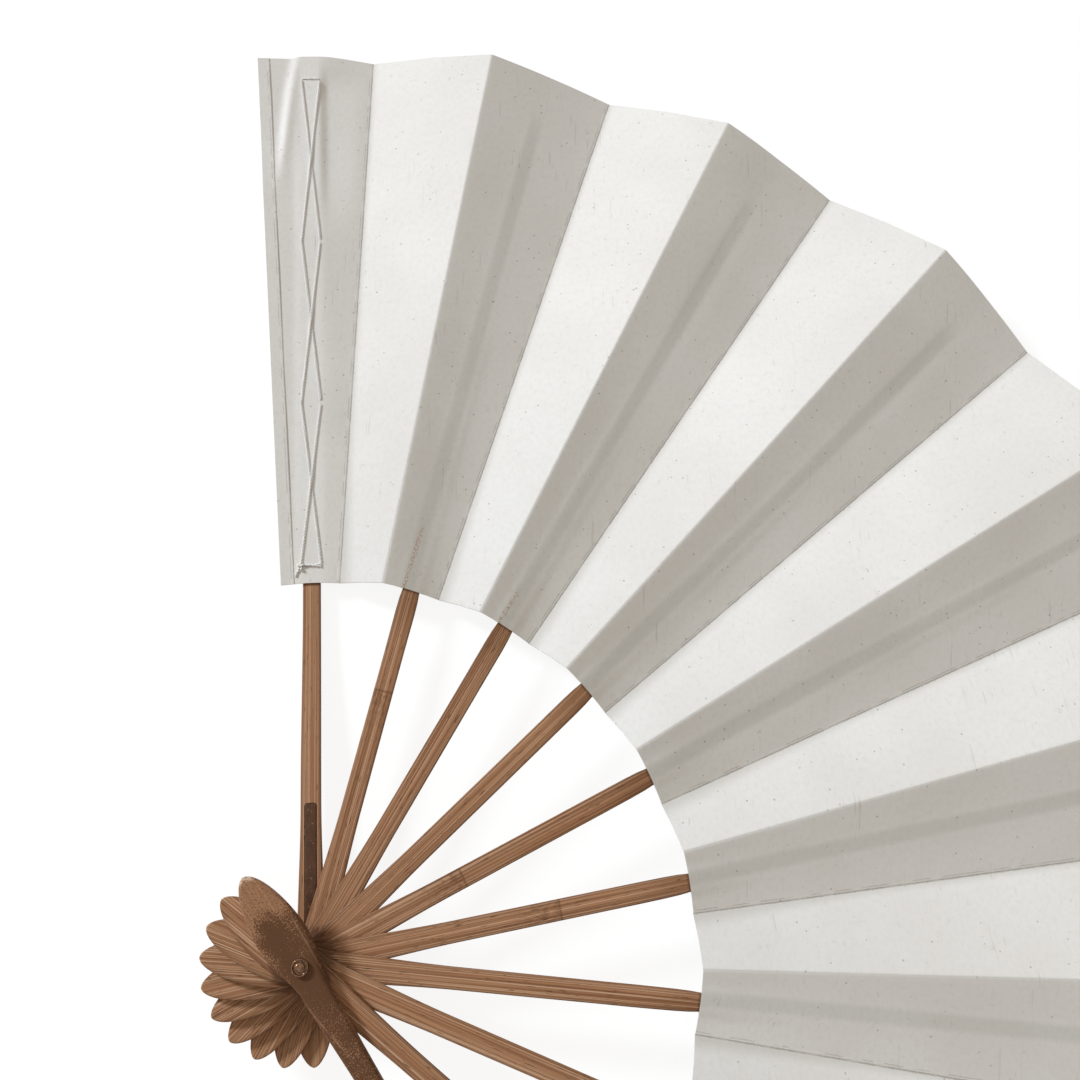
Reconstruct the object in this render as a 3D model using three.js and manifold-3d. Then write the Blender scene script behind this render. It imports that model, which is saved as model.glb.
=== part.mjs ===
// A folding dance fan, opened wide and lying on its back.
// Bamboo sticks, the outer two of them guards, turn on one pivot pin and carry a pleated paper leaf.
// Millimetres. +Z points to the front of the fan, and +Y runs along the middle line of the open fan.
// The origin lies on the pivot axis, in the flat rear face of the pivot pin.

import * as THREE from "three";
import { mergeVertices } from "three/addons/utils/BufferGeometryUtils.js";
import Module from "manifold-3d";

const { degToRad, lerp, smoothstep } = THREE.MathUtils;

// Opening and stack
const RIB_COUNT = 8;
const PLEAT_ANGLE = degToRad(16.5); // between neighbouring sticks
const STICK_GAP = 0.3; // air between two sticks on the pin

// Sticks
const RIB_THICKNESS = 1.3;
const GUARD_THICKNESS = 2.6;
const EDGE_BEVEL = 0.25;
const TAIL_LENGTH = 24.2; // from the pivot to the rounded tip
const TAIL_HALF_WIDTH = 5.65;
const TAIL_WIDEST = 7; // from the pivot to the widest place of the tail
const TAIL_ROUNDNESS = 1.8; // exponent of the tip's superellipse, 2 is an ellipse
const TAIL_LEAN = degToRad(1.85); // turn of the tail against the shaft
const NECK_HALF_WIDTH = 3.35;
const NECK_START = 6; // from the pivot to where the tail has narrowed to the neck
const NECK_LENGTH = 36; // from the pivot to the even shaft
const SHAFT_HALF_WIDTH = 2.5;

// Rib tongues, which lie in pockets between the two layers of the leaf
const TONGUE_THICKNESS = 0.5;
const TONGUE_HALF_WIDTH = 1.9;
const TONGUE_TIP_HALF_WIDTH = 1.4;
const TONGUE_END_MARGIN = 14; // from the tongue's tip to the leaf's outer edge
const POCKET_CLEARANCE = 0.15;

// Guards inside the leaf
const GUARD_LEAF_THICKNESS = 1.9;
const GUARD_TIP_THICKNESS = 1.4;
const GUARD_LEAF_HALF_WIDTH = 2.3;
const GUARD_TIP_HALF_WIDTH = 2.1;
const GUARD_END_MARGIN = 0.6; // from the guard's tip to the leaf's outer edge

// Leaf
const LEAF_INNER_RADIUS = 93.3;
const LEAF_OUTER_RADIUS = 259;
const PAPER_THICKNESS = 0.4; // both layers pasted together
const LAYER_THICKNESS = 0.3; // one layer over a pocket
const CREASE_ANGLE = degToRad(3.93); // from a rib's axis to the creases beside it
const CREASE_OFFSET = 1.1; // sideways, because the creases meet short of the pivot
const PLEAT_RISE_INNER = 2.5; // from a rib's plane to a crease, at the inner edge
const PLEAT_RISE_OUTER = 4.8; // the same at the outer edge
const CREASE_GAP = 0.3;
const POCKET_RAMP = 1.4; // width over which a pocket's bulge dies away
const MOUTH_LENGTH = 5; // stretch over which a rib narrows into its tongue

// Guard panels of the leaf
const FREE_EDGE_INNER = 7.9; // from the guard's axis to the free edge, at the inner edge
const FREE_EDGE_OUTER = 16; // the same at the outer edge
const GUARD_BUMP = 0.6; // height of the guard's bump above the free edge
const BUMP_FALL = 0.8; // share of the free side over which the bump dies away
const HEM_WIDTH = 3.5;

// Lacing of each guard
const THREAD_RADIUS = 0.3;
const THREAD_SIDES = 6;
const LACING_CROSSINGS = 3;
const LACING_MARGIN_INNER = 5; // from the leaf's inner edge to the last bar
const LACING_MARGIN_OUTER = 9; // from the leaf's outer edge to the first bar
const LACING_DROP = 4; // the middle bars lie this much nearer to the pivot than even steps
const KNOT_RADIUS = 0.75;
const KNOT_FLATNESS = 0.6;
const KNOT_TAIL = 2.6;

// Lead weights let into the guards
const WEIGHT_START = 7; // from the pivot
const WEIGHT_END = 36.4;
const WEIGHT_HALF_WIDTH = 1.5;
const WEIGHT_CORNER = 0.8;
const WEIGHT_DEPTH = 1.2;
const WEIGHT_CLEARANCE = 0.1;

// Pivot
const PIN_RADIUS = 0.8;
const PIN_CLEARANCE = 0.15;
const PIN_HEAD_RADIUS = 1.2;
const PIN_HEAD_HEIGHT = 0.8;
const WASHER_RADIUS = 2;
const WASHER_FLOOR = 0.3;
const WASHER_RIM_WIDTH = 0.5;
const WASHER_RIM_HEIGHT = 0.75;
const SEAT_GAP = 0.1; // between pieces that rest on each other

// Rows and facets
const TAIL_ROW_ANGLES = [4, 13, 25, 39, 55, 72].map(degToRad);
const NECK_ROWS = 8;
const SHAFT_ROWS = 4;
const TONGUE_ROWS = 3;
const LEAF_ROWS = 4;
const FREE_SIDE_SHARES = [1, 0.7, 0.3, 0]; // from the free edge to the guard's bump
const GUARD_TIP_ANGLES = [50, 85].map(degToRad);
const DOME_ANGLES = [0, 22, 45, 68].map(degToRad);
const ROUND_FACETS = 28;
const KNOT_FACETS = 10;

// Sizes that follow from the ones above
const STICK_COUNT = RIB_COUNT + 2;
const STACK_PITCH = RIB_THICKNESS + STICK_GAP;
const MOUTH_RADIUS = LEAF_INNER_RADIUS - MOUTH_LENGTH;
const TONGUE_END = LEAF_OUTER_RADIUS - TONGUE_END_MARGIN;
const GUARD_END = LEAF_OUTER_RADIUS - GUARD_END_MARGIN;
const PIN_HOLE_RADIUS = PIN_RADIUS + PIN_CLEARANCE;
const WASHER_STACK = PIN_HEAD_HEIGHT + SEAT_GAP + WASHER_FLOOR + SEAT_GAP;
const REAR_FACE = WASHER_STACK; // outer face of the rear guard at the pivot
const FIRST_LEVEL = REAR_FACE + GUARD_THICKNESS - RIB_THICKNESS / 2;
const LAST_LEVEL = FIRST_LEVEL + (STICK_COUNT - 1) * STACK_PITCH;
const FRONT_FACE = LAST_LEVEL - RIB_THICKNESS / 2 + GUARD_THICKNESS;
const HALF_OPENING = ((STICK_COUNT - 1) * PLEAT_ANGLE) / 2;
const POCKET_HALF_THICKNESS = TONGUE_THICKNESS / 2 + POCKET_CLEARANCE + LAYER_THICKNESS;
const THREAD_PLACE = GUARD_LEAF_HALF_WIDTH + SEAT_GAP + THREAD_RADIUS;
const BUMP_HALF_WIDTH = THREAD_PLACE + THREAD_RADIUS + 3 * SEAT_GAP;
const STRAND_SPREAD = 1.5 * THREAD_RADIUS; // between the two strands behind the guard
const TOP_BAR_RISE = 3 * THREAD_RADIUS; // of the first bar on the front above the one behind
const END_BAR_DROP = 2 * THREAD_RADIUS; // of the last bar's knotted end

const wasm = await Module();
wasm.setup();

const bamboo = new THREE.MeshStandardMaterial({ color: 0x94704f, roughness: 0.55 });
const darkBamboo = new THREE.MeshStandardMaterial({ color: 0x7a5a42, roughness: 0.5 });
const paper = new THREE.MeshStandardMaterial({ color: 0xe6e3dd, roughness: 0.9 });
const thread = new THREE.MeshStandardMaterial({ color: 0xf2f0ea, roughness: 0.8 });
const lead = new THREE.MeshStandardMaterial({ color: 0x4a3b33, roughness: 0.5, metalness: 0.8 });
const bronze = new THREE.MeshStandardMaterial({ color: 0x8a6a4c, roughness: 0.35, metalness: 0.9 });

// Booleans on closed geometries

function solidOf(geometry) {
  const bare = geometry.clone();
  bare.deleteAttribute("normal");
  bare.deleteAttribute("uv");
  const merged = mergeVertices(bare, 1e-4);
  return new wasm.Manifold(
    new wasm.Mesh({
      numProp: 3,
      vertProperties: merged.attributes.position.array,
      triVerts: new Uint32Array(merged.index.array),
    }),
  );
}

function geometryOf(solid) {
  const { vertProperties, triVerts } = solid.getMesh();
  return new THREE.BufferGeometry()
    .setAttribute("position", new THREE.BufferAttribute(vertProperties, 3))
    .setIndex(new THREE.BufferAttribute(triVerts, 1));
}

function cut(geometry, ...tools) {
  return geometryOf(tools.reduce((left, tool) => left.subtract(solidOf(tool)), solidOf(geometry)));
}

function join(geometry, ...others) {
  return geometryOf(others.reduce((sum, other) => sum.add(solidOf(other)), solidOf(geometry)));
}

// A closed slab over a grid of points { x, y, low, high }.
// Rows run along +Y and the points of a row along +X.
function slab(rows) {
  const across = rows[0].length;
  const layer = rows.length * across;
  const positions = [];
  for (const level of ["low", "high"]) {
    for (const row of rows) {
      for (const point of row) positions.push(point.x, point.y, point[level]);
    }
  }
  const index = [];
  const quad = (a, b, c, d) => index.push(a, b, c, a, c, d);
  for (let j = 0; j + 1 < rows.length; j++) {
    for (let i = 0; i + 1 < across; i++) {
      const a = j * across + i;
      quad(a, a + across, a + across + 1, a + 1);
      quad(layer + a, layer + a + 1, layer + a + across + 1, layer + a + across);
    }
    const left = j * across;
    const right = left + across - 1;
    quad(left, layer + left, layer + left + across, left + across);
    quad(right, right + across, layer + right + across, layer + right);
  }
  for (let i = 0; i + 1 < across; i++) {
    const far = layer - across + i;
    quad(i, i + 1, layer + i + 1, layer + i);
    quad(far, layer + far, layer + far + 1, far + 1);
  }
  return new THREE.BufferGeometry()
    .setAttribute("position", new THREE.Float32BufferAttribute(positions, 3))
    .setIndex(index);
}

// Any direction that no run of thread is parallel to.
const ASLANT = new THREE.Vector3(0.3, 0.6, 0.7);

// A tube with mitred corners along straight runs between points.
function threadTube(points, radius) {
  const runs = points.slice(1).map((point, i) => point.clone().sub(points[i]).normalize());
  const side = ASLANT.clone().cross(runs[0]).normalize();
  const up = runs[0].clone().cross(side);
  let ring = [...Array(THREAD_SIDES).keys()].map((i) => {
    const turn = (2 * Math.PI * i) / THREAD_SIDES;
    const offset = side.clone().multiplyScalar(radius * Math.cos(turn));
    return offset.addScaledVector(up, radius * Math.sin(turn)).add(points[0]);
  });
  const rings = [ring];
  runs.forEach((run, i) => {
    const end = points[i + 1];
    const mitre = run.clone().add(runs[i + 1] ?? run);
    ring = ring.map((point) => {
      const distance = end.clone().sub(point).dot(mitre) / run.dot(mitre);
      return point.clone().addScaledVector(run, distance);
    });
    rings.push(ring);
  });
  const positions = rings.flat().flatMap((point) => point.toArray());
  const index = [];
  for (let j = 0; j + 1 < rings.length; j++) {
    for (let i = 0; i < THREAD_SIDES; i++) {
      const a = j * THREAD_SIDES + i;
      const b = j * THREAD_SIDES + ((i + 1) % THREAD_SIDES);
      index.push(a, b, b + THREAD_SIDES, a, b + THREAD_SIDES, a + THREAD_SIDES);
    }
  }
  const last = (rings.length - 1) * THREAD_SIDES;
  for (let i = 1; i + 1 < THREAD_SIDES; i++) {
    index.push(0, i + 1, i, last, last + i, last + i + 1);
  }
  return new THREE.BufferGeometry()
    .setAttribute("position", new THREE.Float32BufferAttribute(positions, 3))
    .setIndex(index);
}

// A solid of revolution about Z from a closed profile of [radius, height] pairs.
function turned(profile) {
  const points = profile.map(([radius, height]) => new THREE.Vector2(radius, height));
  return new THREE.LatheGeometry(points, ROUND_FACETS).rotateX(Math.PI / 2);
}

function steps(count, from, to) {
  return [...Array(count).keys()].map((i) => lerp(from, to, (i + 1) / count));
}

// Shape of the pleats, in the frame of one stick: +Y along the stick, its own plane at z = 0.
// The crease to the right of a rib is a valley and the one to its left a mountain.

function alongLeaf(radius) {
  return (radius - LEAF_INNER_RADIUS) / (LEAF_OUTER_RADIUS - LEAF_INNER_RADIUS);
}

function pleatRise(radius) {
  return lerp(PLEAT_RISE_INNER, PLEAT_RISE_OUTER, alongLeaf(radius));
}

function creaseOffset(radius) {
  return radius * Math.sin(CREASE_ANGLE) + CREASE_OFFSET * Math.cos(CREASE_ANGLE);
}

function pleatSlope(radius) {
  return pleatRise(radius) / creaseOffset(radius);
}

// Sticks

function tailHalfWidth(reach) {
  return TAIL_HALF_WIDTH * (1 - reach ** TAIL_ROUNDNESS) ** (1 / TAIL_ROUNDNESS);
}

function stickHalfWidth(y) {
  const neck = lerp(NECK_HALF_WIDTH, SHAFT_HALF_WIDTH, smoothstep(y, 0, NECK_LENGTH));
  const tail = lerp(TAIL_HALF_WIDTH - NECK_HALF_WIDTH, 0, smoothstep(y, -TAIL_WIDEST, NECK_START));
  return neck + tail;
}

// How far a tail's middle lies beside the stick's axis.
function tailCentre(y) {
  const behind = Math.max(0, -y);
  return behind * Math.tan(TAIL_LEAN) * smoothstep(behind, 0, NECK_START);
}

// One row across a stick: flat faces with bevelled long edges, on a plane that may slope.
function stickRow(y, halfWidth, low, high, slope = 0, centre = tailCentre(y)) {
  const bevel = Math.min(EDGE_BEVEL, halfWidth / 2, (high - low) / 3);
  const point = (x, inset) => ({
    x: centre + x,
    y,
    low: low + inset - slope * x,
    high: high - inset - slope * x,
  });
  return [
    point(-halfWidth, bevel),
    point(-halfWidth + bevel, 0),
    point(halfWidth - bevel, 0),
    point(halfWidth, bevel),
  ];
}

function tailRows(low, high, lean = 1) {
  return TAIL_ROW_ANGLES.map((angle) => {
    const reach = Math.cos(angle);
    const y = -TAIL_WIDEST - reach * (TAIL_LENGTH - TAIL_WIDEST);
    return stickRow(y, tailHalfWidth(reach), low, high, 0, lean * tailCentre(y));
  });
}

function pinHole() {
  const depth = 4 * GUARD_THICKNESS;
  return new THREE.CylinderGeometry(PIN_HOLE_RADIUS, PIN_HOLE_RADIUS, depth, ROUND_FACETS).rotateX(
    Math.PI / 2,
  );
}

function ribHalfWidth(y) {
  if (y <= MOUTH_RADIUS) return stickHalfWidth(y);
  const mouth = smoothstep(y, MOUTH_RADIUS, LEAF_INNER_RADIUS + MOUTH_LENGTH);
  const tongue = lerp(TONGUE_HALF_WIDTH, TONGUE_TIP_HALF_WIDTH, Math.max(0, alongLeaf(y)));
  return lerp(SHAFT_HALF_WIDTH, tongue, mouth);
}

function ribHalfThickness(y) {
  return lerp(RIB_THICKNESS, TONGUE_THICKNESS, smoothstep(y, NECK_LENGTH, MOUTH_RADIUS)) / 2;
}

// A rib twists from flat at the neck to the slope of its leaf panel.
function ribSlope(y) {
  return pleatSlope(y) * smoothstep(y, NECK_LENGTH, MOUTH_RADIUS);
}

function ribGeometry() {
  const half = RIB_THICKNESS / 2;
  const places = [
    -TAIL_WIDEST,
    ...steps(NECK_ROWS, -TAIL_WIDEST, NECK_LENGTH),
    ...steps(SHAFT_ROWS, NECK_LENGTH, MOUTH_RADIUS),
    LEAF_INNER_RADIUS,
    LEAF_INNER_RADIUS + MOUTH_LENGTH,
    ...steps(TONGUE_ROWS, LEAF_INNER_RADIUS + MOUTH_LENGTH, TONGUE_END),
  ];
  const rows = places.map((y) =>
    stickRow(y, ribHalfWidth(y), -ribHalfThickness(y), ribHalfThickness(y), ribSlope(y)),
  );
  return cut(slab([...tailRows(-half, half), ...rows]), pinHole());
}

// Leaf panels over the ribs, each with a pocket for its rib

// One row across the leaf: points at the given places along an arc round the pivot.
function leafRow(radius, columns) {
  const reach = Math.hypot(radius, CREASE_OFFSET);
  return columns.map(({ x, middle, half }) => ({
    x,
    y: Math.sqrt(reach * reach - x * x),
    low: middle - half,
    high: middle + half,
  }));
}

function ribPanelRow(radius, bulge) {
  const edge = creaseOffset(radius) - CREASE_GAP / 2;
  const pocket = ribHalfWidth(radius) + POCKET_CLEARANCE + LAYER_THICKNESS;
  const flat = PAPER_THICKNESS / 2;
  const raised = lerp(flat, POCKET_HALF_THICKNESS, bulge);
  const column = (x, half) => ({ x, middle: -pleatSlope(radius) * x, half });
  return leafRow(radius, [
    column(-edge, flat),
    column(-pocket - POCKET_RAMP, flat),
    column(-pocket, raised),
    column(pocket, raised),
    column(pocket + POCKET_RAMP, flat),
    column(edge, flat),
  ]);
}

function pocketGeometry() {
  const end = TONGUE_END + POCKET_CLEARANCE;
  const places = [
    MOUTH_RADIUS,
    LEAF_INNER_RADIUS,
    LEAF_INNER_RADIUS + MOUTH_LENGTH,
    ...steps(TONGUE_ROWS, LEAF_INNER_RADIUS + MOUTH_LENGTH, end),
  ];
  const rows = places.map((y) => {
    const halfWidth = ribHalfWidth(y) + POCKET_CLEARANCE;
    const half = ribHalfThickness(y) + POCKET_CLEARANCE;
    const point = (x) => ({ x, y, low: -half - ribSlope(y) * x, high: half - ribSlope(y) * x });
    return [point(-halfWidth), point(halfWidth)];
  });
  return slab(rows);
}

function ribPanelGeometry() {
  const pocketEnd = TONGUE_END + POCKET_CLEARANCE + LAYER_THICKNESS;
  const raised = [
    LEAF_INNER_RADIUS,
    LEAF_INNER_RADIUS + MOUTH_LENGTH,
    ...steps(LEAF_ROWS, LEAF_INNER_RADIUS + MOUTH_LENGTH, pocketEnd),
  ];
  const rows = raised.map((radius) => ribPanelRow(radius, 1));
  rows.push(ribPanelRow(pocketEnd + POCKET_RAMP, 0), ribPanelRow(LEAF_OUTER_RADIUS, 0));
  return cut(slab(rows), pocketGeometry());
}

const leafRadii = [LEAF_INNER_RADIUS, ...steps(LEAF_ROWS, LEAF_INNER_RADIUS, LEAF_OUTER_RADIUS)];

// Leaf panels that link two sticks: from one stick's valley up to the next one's mountain

function linkPanelGeometry() {
  const rows = leafRadii.map((radius) => {
    const reach = Math.hypot(radius, CREASE_OFFSET);
    const valley = Math.asin(creaseOffset(radius) / reach);
    const mountain = PLEAT_ANGLE - valley;
    const gap = CREASE_GAP / 2 / reach;
    const rise = pleatRise(radius);
    return [valley + gap, PLEAT_ANGLE / 2, mountain - gap].map((angle) => {
      const share = (angle - valley) / (mountain - valley);
      const middle = lerp(-rise, STACK_PITCH + rise, share);
      return {
        x: reach * Math.sin(angle),
        y: reach * Math.cos(angle),
        low: middle - PAPER_THICKNESS / 2,
        high: middle + PAPER_THICKNESS / 2,
      };
    });
  });
  return slab(rows);
}

// Guards, in the rear guard's frame: its inner face up, the stack of ribs above it

// Room that the closed stack of sloping panels and the lacing leave over the guard.
const CLOSED_ROOM =
  STACK_PITCH - BUMP_HALF_WIDTH * pleatSlope(LEAF_INNER_RADIUS) - POCKET_HALF_THICKNESS - SEAT_GAP;
const GUARD_LEAF_FACE = CLOSED_ROOM - 2 * THREAD_RADIUS - PAPER_THICKNESS - 2 * SEAT_GAP;

function guardBend(y) {
  return smoothstep(y, WEIGHT_END + WEIGHT_HALF_WIDTH, MOUTH_RADIUS);
}

function guardInnerFace(y) {
  return lerp(RIB_THICKNESS / 2, GUARD_LEAF_FACE, guardBend(y));
}

function guardThickness(y) {
  const inLeaf = lerp(GUARD_LEAF_THICKNESS, GUARD_TIP_THICKNESS, Math.max(0, alongLeaf(y)));
  return lerp(GUARD_THICKNESS, inLeaf, guardBend(y));
}

function guardOuterFace(y) {
  return guardInnerFace(y) - guardThickness(y);
}

function guardHalfWidth(y) {
  const inLeaf = lerp(GUARD_LEAF_HALF_WIDTH, GUARD_TIP_HALF_WIDTH, Math.max(0, alongLeaf(y)));
  return lerp(stickHalfWidth(y), inLeaf, smoothstep(y, NECK_LENGTH, LEAF_INNER_RADIUS));
}

function weightShape(margin) {
  const radius = WEIGHT_CORNER + margin;
  const side = WEIGHT_HALF_WIDTH - WEIGHT_CORNER;
  const far = WEIGHT_END - WEIGHT_CORNER;
  const near = WEIGHT_START + WEIGHT_CORNER;
  const quarter = Math.PI / 2;
  const corners = [
    [side, far],
    [-side, far],
    [-side, near],
    [side, near],
  ];
  const shape = new THREE.Shape();
  corners.forEach(([x, y], i) => shape.absarc(x, y, radius, i * quarter, (i + 1) * quarter));
  return shape;
}

function weightGeometry(margin, depth) {
  const settings = { depth, bevelEnabled: false, curveSegments: Math.ceil(ROUND_FACETS / 8) };
  const face = RIB_THICKNESS / 2;
  return new THREE.ExtrudeGeometry(weightShape(margin), settings).translate(
    0,
    0,
    face - WEIGHT_DEPTH - margin,
  );
}

// The tail's lean changes sides in a guard that is turned over.
function guardGeometry(lean) {
  const face = RIB_THICKNESS / 2;
  const roundedEnd = GUARD_TIP_HALF_WIDTH;
  const places = [
    -TAIL_WIDEST,
    ...steps(NECK_ROWS, -TAIL_WIDEST, NECK_LENGTH),
    ...steps(SHAFT_ROWS, NECK_LENGTH, LEAF_INNER_RADIUS),
    ...steps(LEAF_ROWS, LEAF_INNER_RADIUS, GUARD_END - roundedEnd),
  ];
  const row = (y, halfWidth) =>
    stickRow(y, halfWidth, guardOuterFace(y), guardInnerFace(y), 0, lean * tailCentre(y));
  const rows = places.map((y) => row(y, guardHalfWidth(y)));
  const tip = GUARD_TIP_ANGLES.map((angle) => {
    const y = GUARD_END - roundedEnd * (1 - Math.sin(angle));
    return row(y, roundedEnd * Math.cos(angle));
  });
  const blank = slab([...tailRows(face - GUARD_THICKNESS, face, lean), ...rows, ...tip]);
  return cut(blank, pinHole(), weightGeometry(WEIGHT_CLEARANCE, GUARD_THICKNESS));
}

// Height of the middle of the guard's leaf panel: a roof over the guard, down to the first valley.
function guardPanelHeight(x, radius) {
  const top = GUARD_LEAF_FACE + SEAT_GAP + PAPER_THICKNESS / 2;
  const fallEnd = lerp(BUMP_HALF_WIDTH, freeEdge(radius), BUMP_FALL);
  if (x < 0) return top - GUARD_BUMP * smoothstep(-x, BUMP_HALF_WIDTH, fallEnd);
  const share = Math.max(0, x - BUMP_HALF_WIDTH) / (creaseOffset(radius) - BUMP_HALF_WIDTH);
  return lerp(top, -pleatRise(radius), share);
}

function freeEdge(radius) {
  return lerp(FREE_EDGE_INNER, FREE_EDGE_OUTER, alongLeaf(radius));
}

function guardPanelGeometry() {
  const rows = leafRadii.map((radius) => {
    const free = freeEdge(radius);
    const crease = creaseOffset(radius) - CREASE_GAP / 2;
    const places = FREE_SIDE_SHARES.map((share) => -lerp(BUMP_HALF_WIDTH, free, share));
    places.push(BUMP_HALF_WIDTH, (BUMP_HALF_WIDTH + crease) / 2, crease);
    const half = PAPER_THICKNESS / 2;
    return leafRow(radius, places.map((x) => ({ x, middle: guardPanelHeight(x, radius), half })));
  });
  const holes = lacingStrands(THREAD_RADIUS + SEAT_GAP);
  return cut(slab(rows), ...holes);
}

function hemGeometry() {
  const rise = PAPER_THICKNESS / 2 + 2 * SEAT_GAP + LAYER_THICKNESS / 2;
  const rows = leafRadii.map((radius) => {
    const free = freeEdge(radius);
    const places = [-free, -free + HEM_WIDTH / 2, -free + HEM_WIDTH];
    const half = LAYER_THICKNESS / 2;
    return leafRow(radius, places.map((x) => ({ x, middle: guardPanelHeight(x, radius) + rise, half })));
  });
  return slab(rows);
}

// Lacing: two strands cross on the inner face and pass round the guard at each bar

function lacingLevels() {
  const first = LEAF_OUTER_RADIUS - LACING_MARGIN_OUTER;
  const last = LEAF_INNER_RADIUS + LACING_MARGIN_INNER;
  const middle = steps(LACING_CROSSINGS, first, last).slice(0, -1);
  return [first, ...middle.map((level) => level - LACING_DROP), last];
}

const LACING_FRONT =
  GUARD_LEAF_FACE + SEAT_GAP + PAPER_THICKNESS + SEAT_GAP + THREAD_RADIUS;

function lacingRoute(side) {
  const levels = lacingLevels();
  const top = levels[0] + TOP_BAR_RISE;
  const place = (x, y, z) => new THREE.Vector3(side * x, y, z);
  const route = [place(-THREAD_RADIUS, top, LACING_FRONT), place(THREAD_PLACE, top, LACING_FRONT)];
  levels.slice(0, -1).forEach((level) => {
    const y = level + side * STRAND_SPREAD;
    const back = guardOuterFace(y) - SEAT_GAP - THREAD_RADIUS;
    if (level !== levels[0]) route.push(place(THREAD_PLACE, y, LACING_FRONT));
    route.push(place(THREAD_PLACE, y, back), place(-THREAD_PLACE, y, back));
    route.push(place(-THREAD_PLACE, y, LACING_FRONT));
  });
  route.push(place(THREAD_PLACE, levels.at(-1), LACING_FRONT));
  route.push(place(-THREAD_PLACE, levels.at(-1) - END_BAR_DROP, LACING_FRONT));
  return route;
}

function lacingStrands(radius) {
  return [-1, 1].map((side) => threadTube(lacingRoute(side), radius));
}

function knotGeometry() {
  const y = lacingLevels().at(-1) - END_BAR_DROP;
  const knot = new THREE.SphereGeometry(KNOT_RADIUS, KNOT_FACETS, KNOT_FACETS - 2);
  knot.scale(1, 1, KNOT_FLATNESS);
  knot.translate(-THREAD_PLACE, y, LACING_FRONT + KNOT_RADIUS * KNOT_FLATNESS - THREAD_RADIUS);
  const tail = [
    new THREE.Vector3(-THREAD_PLACE, y, LACING_FRONT),
    new THREE.Vector3(-THREAD_PLACE - KNOT_TAIL / 2, y - KNOT_TAIL, LACING_FRONT),
  ];
  return join(knot, threadTube(tail, THREAD_RADIUS));
}

function lacingGeometry() {
  return join(...lacingStrands(THREAD_RADIUS), knotGeometry());
}

// Pivot

function washerGeometry() {
  const inner = WASHER_RADIUS - WASHER_RIM_WIDTH;
  const crown = WASHER_RADIUS - WASHER_RIM_WIDTH / 2;
  const shoulder = (WASHER_FLOOR + WASHER_RIM_HEIGHT) / 2;
  return turned([
    [PIN_HOLE_RADIUS, 0],
    [WASHER_RADIUS, 0],
    [WASHER_RADIUS, shoulder],
    [crown + WASHER_RIM_WIDTH / 4, WASHER_RIM_HEIGHT - SEAT_GAP / 2],
    [crown, WASHER_RIM_HEIGHT],
    [crown - WASHER_RIM_WIDTH / 4, WASHER_RIM_HEIGHT - SEAT_GAP / 2],
    [inner, shoulder],
    [inner, WASHER_FLOOR],
    [PIN_HOLE_RADIUS, WASHER_FLOOR],
    [PIN_HOLE_RADIUS, 0],
  ]);
}

// The rear end is a flat riveted head and the front end a dome.
function pinGeometry() {
  const rearSeat = PIN_HEAD_HEIGHT;
  const frontSeat = FRONT_FACE + SEAT_GAP + WASHER_FLOOR + SEAT_GAP;
  const edge = PIN_HEAD_HEIGHT / 4;
  const dome = DOME_ANGLES.map((angle) => [
    PIN_HEAD_RADIUS * Math.cos(angle),
    frontSeat + edge + (PIN_HEAD_HEIGHT - edge) * Math.sin(angle),
  ]);
  return turned([
    [0, 0],
    [PIN_HEAD_RADIUS - edge, 0],
    [PIN_HEAD_RADIUS, edge],
    [PIN_HEAD_RADIUS, rearSeat],
    [PIN_RADIUS, rearSeat],
    [PIN_RADIUS, frontSeat],
    [PIN_HEAD_RADIUS, frontSeat],
    ...dome,
    [0, frontSeat + PIN_HEAD_HEIGHT],
  ]);
}

// Assembly

const fan = new THREE.Group();

function add(parent, name, geometry, material) {
  const mesh = new THREE.Mesh(geometry, material);
  mesh.name = name;
  parent.add(mesh);
  return mesh;
}

// A group at one stick's place in the open fan, counted from the rear guard.
function stickGroup(number) {
  const group = new THREE.Group();
  group.rotation.z = HALF_OPENING - number * PLEAT_ANGLE;
  group.position.z = FIRST_LEVEL + number * STACK_PITCH;
  fan.add(group);
  return group;
}

function addGuardPieces(group, end, material, lean) {
  add(group, `guard_${end}`, guardGeometry(lean), material);
  add(group, `weight_${end}`, weightGeometry(0, WEIGHT_DEPTH - SEAT_GAP), lead);
  add(group, `leaf_guard_${end}`, guardPanelGeometry(), paper);
  add(group, `leaf_hem_${end}`, hemGeometry(), paper);
  add(group, `lacing_${end}`, lacingGeometry(), thread);
}

const sticks = [...Array(STICK_COUNT).keys()].map(stickGroup);
addGuardPieces(sticks[0], "rear", bamboo, 1);

// The front guard is the rear one turned over on its long axis.
const frontGuard = new THREE.Group();
frontGuard.rotation.y = Math.PI;
sticks.at(-1).add(frontGuard);
addGuardPieces(frontGuard, "front", darkBamboo, -1);

sticks.slice(1, -1).forEach((group, i) => {
  add(group, `rib_${i + 1}`, ribGeometry(), bamboo);
  add(group, `leaf_rib_${i + 1}`, ribPanelGeometry(), paper);
});
sticks.slice(0, -1).forEach((group, i) => {
  add(group, `leaf_link_${i + 1}`, linkPanelGeometry(), paper);
});

add(fan, "pivot_pin", pinGeometry(), bronze);
const rearWasher = add(fan, "pivot_washer_rear", washerGeometry(), bronze);
rearWasher.rotation.x = Math.PI;
rearWasher.position.z = REAR_FACE - SEAT_GAP;
const frontWasher = add(fan, "pivot_washer_front", washerGeometry(), bronze);
frontWasher.position.z = FRONT_FACE + SEAT_GAP;

export default fan;
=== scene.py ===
import math

import bpy
import numpy as np
from mathutils import Matrix, Vector


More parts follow.
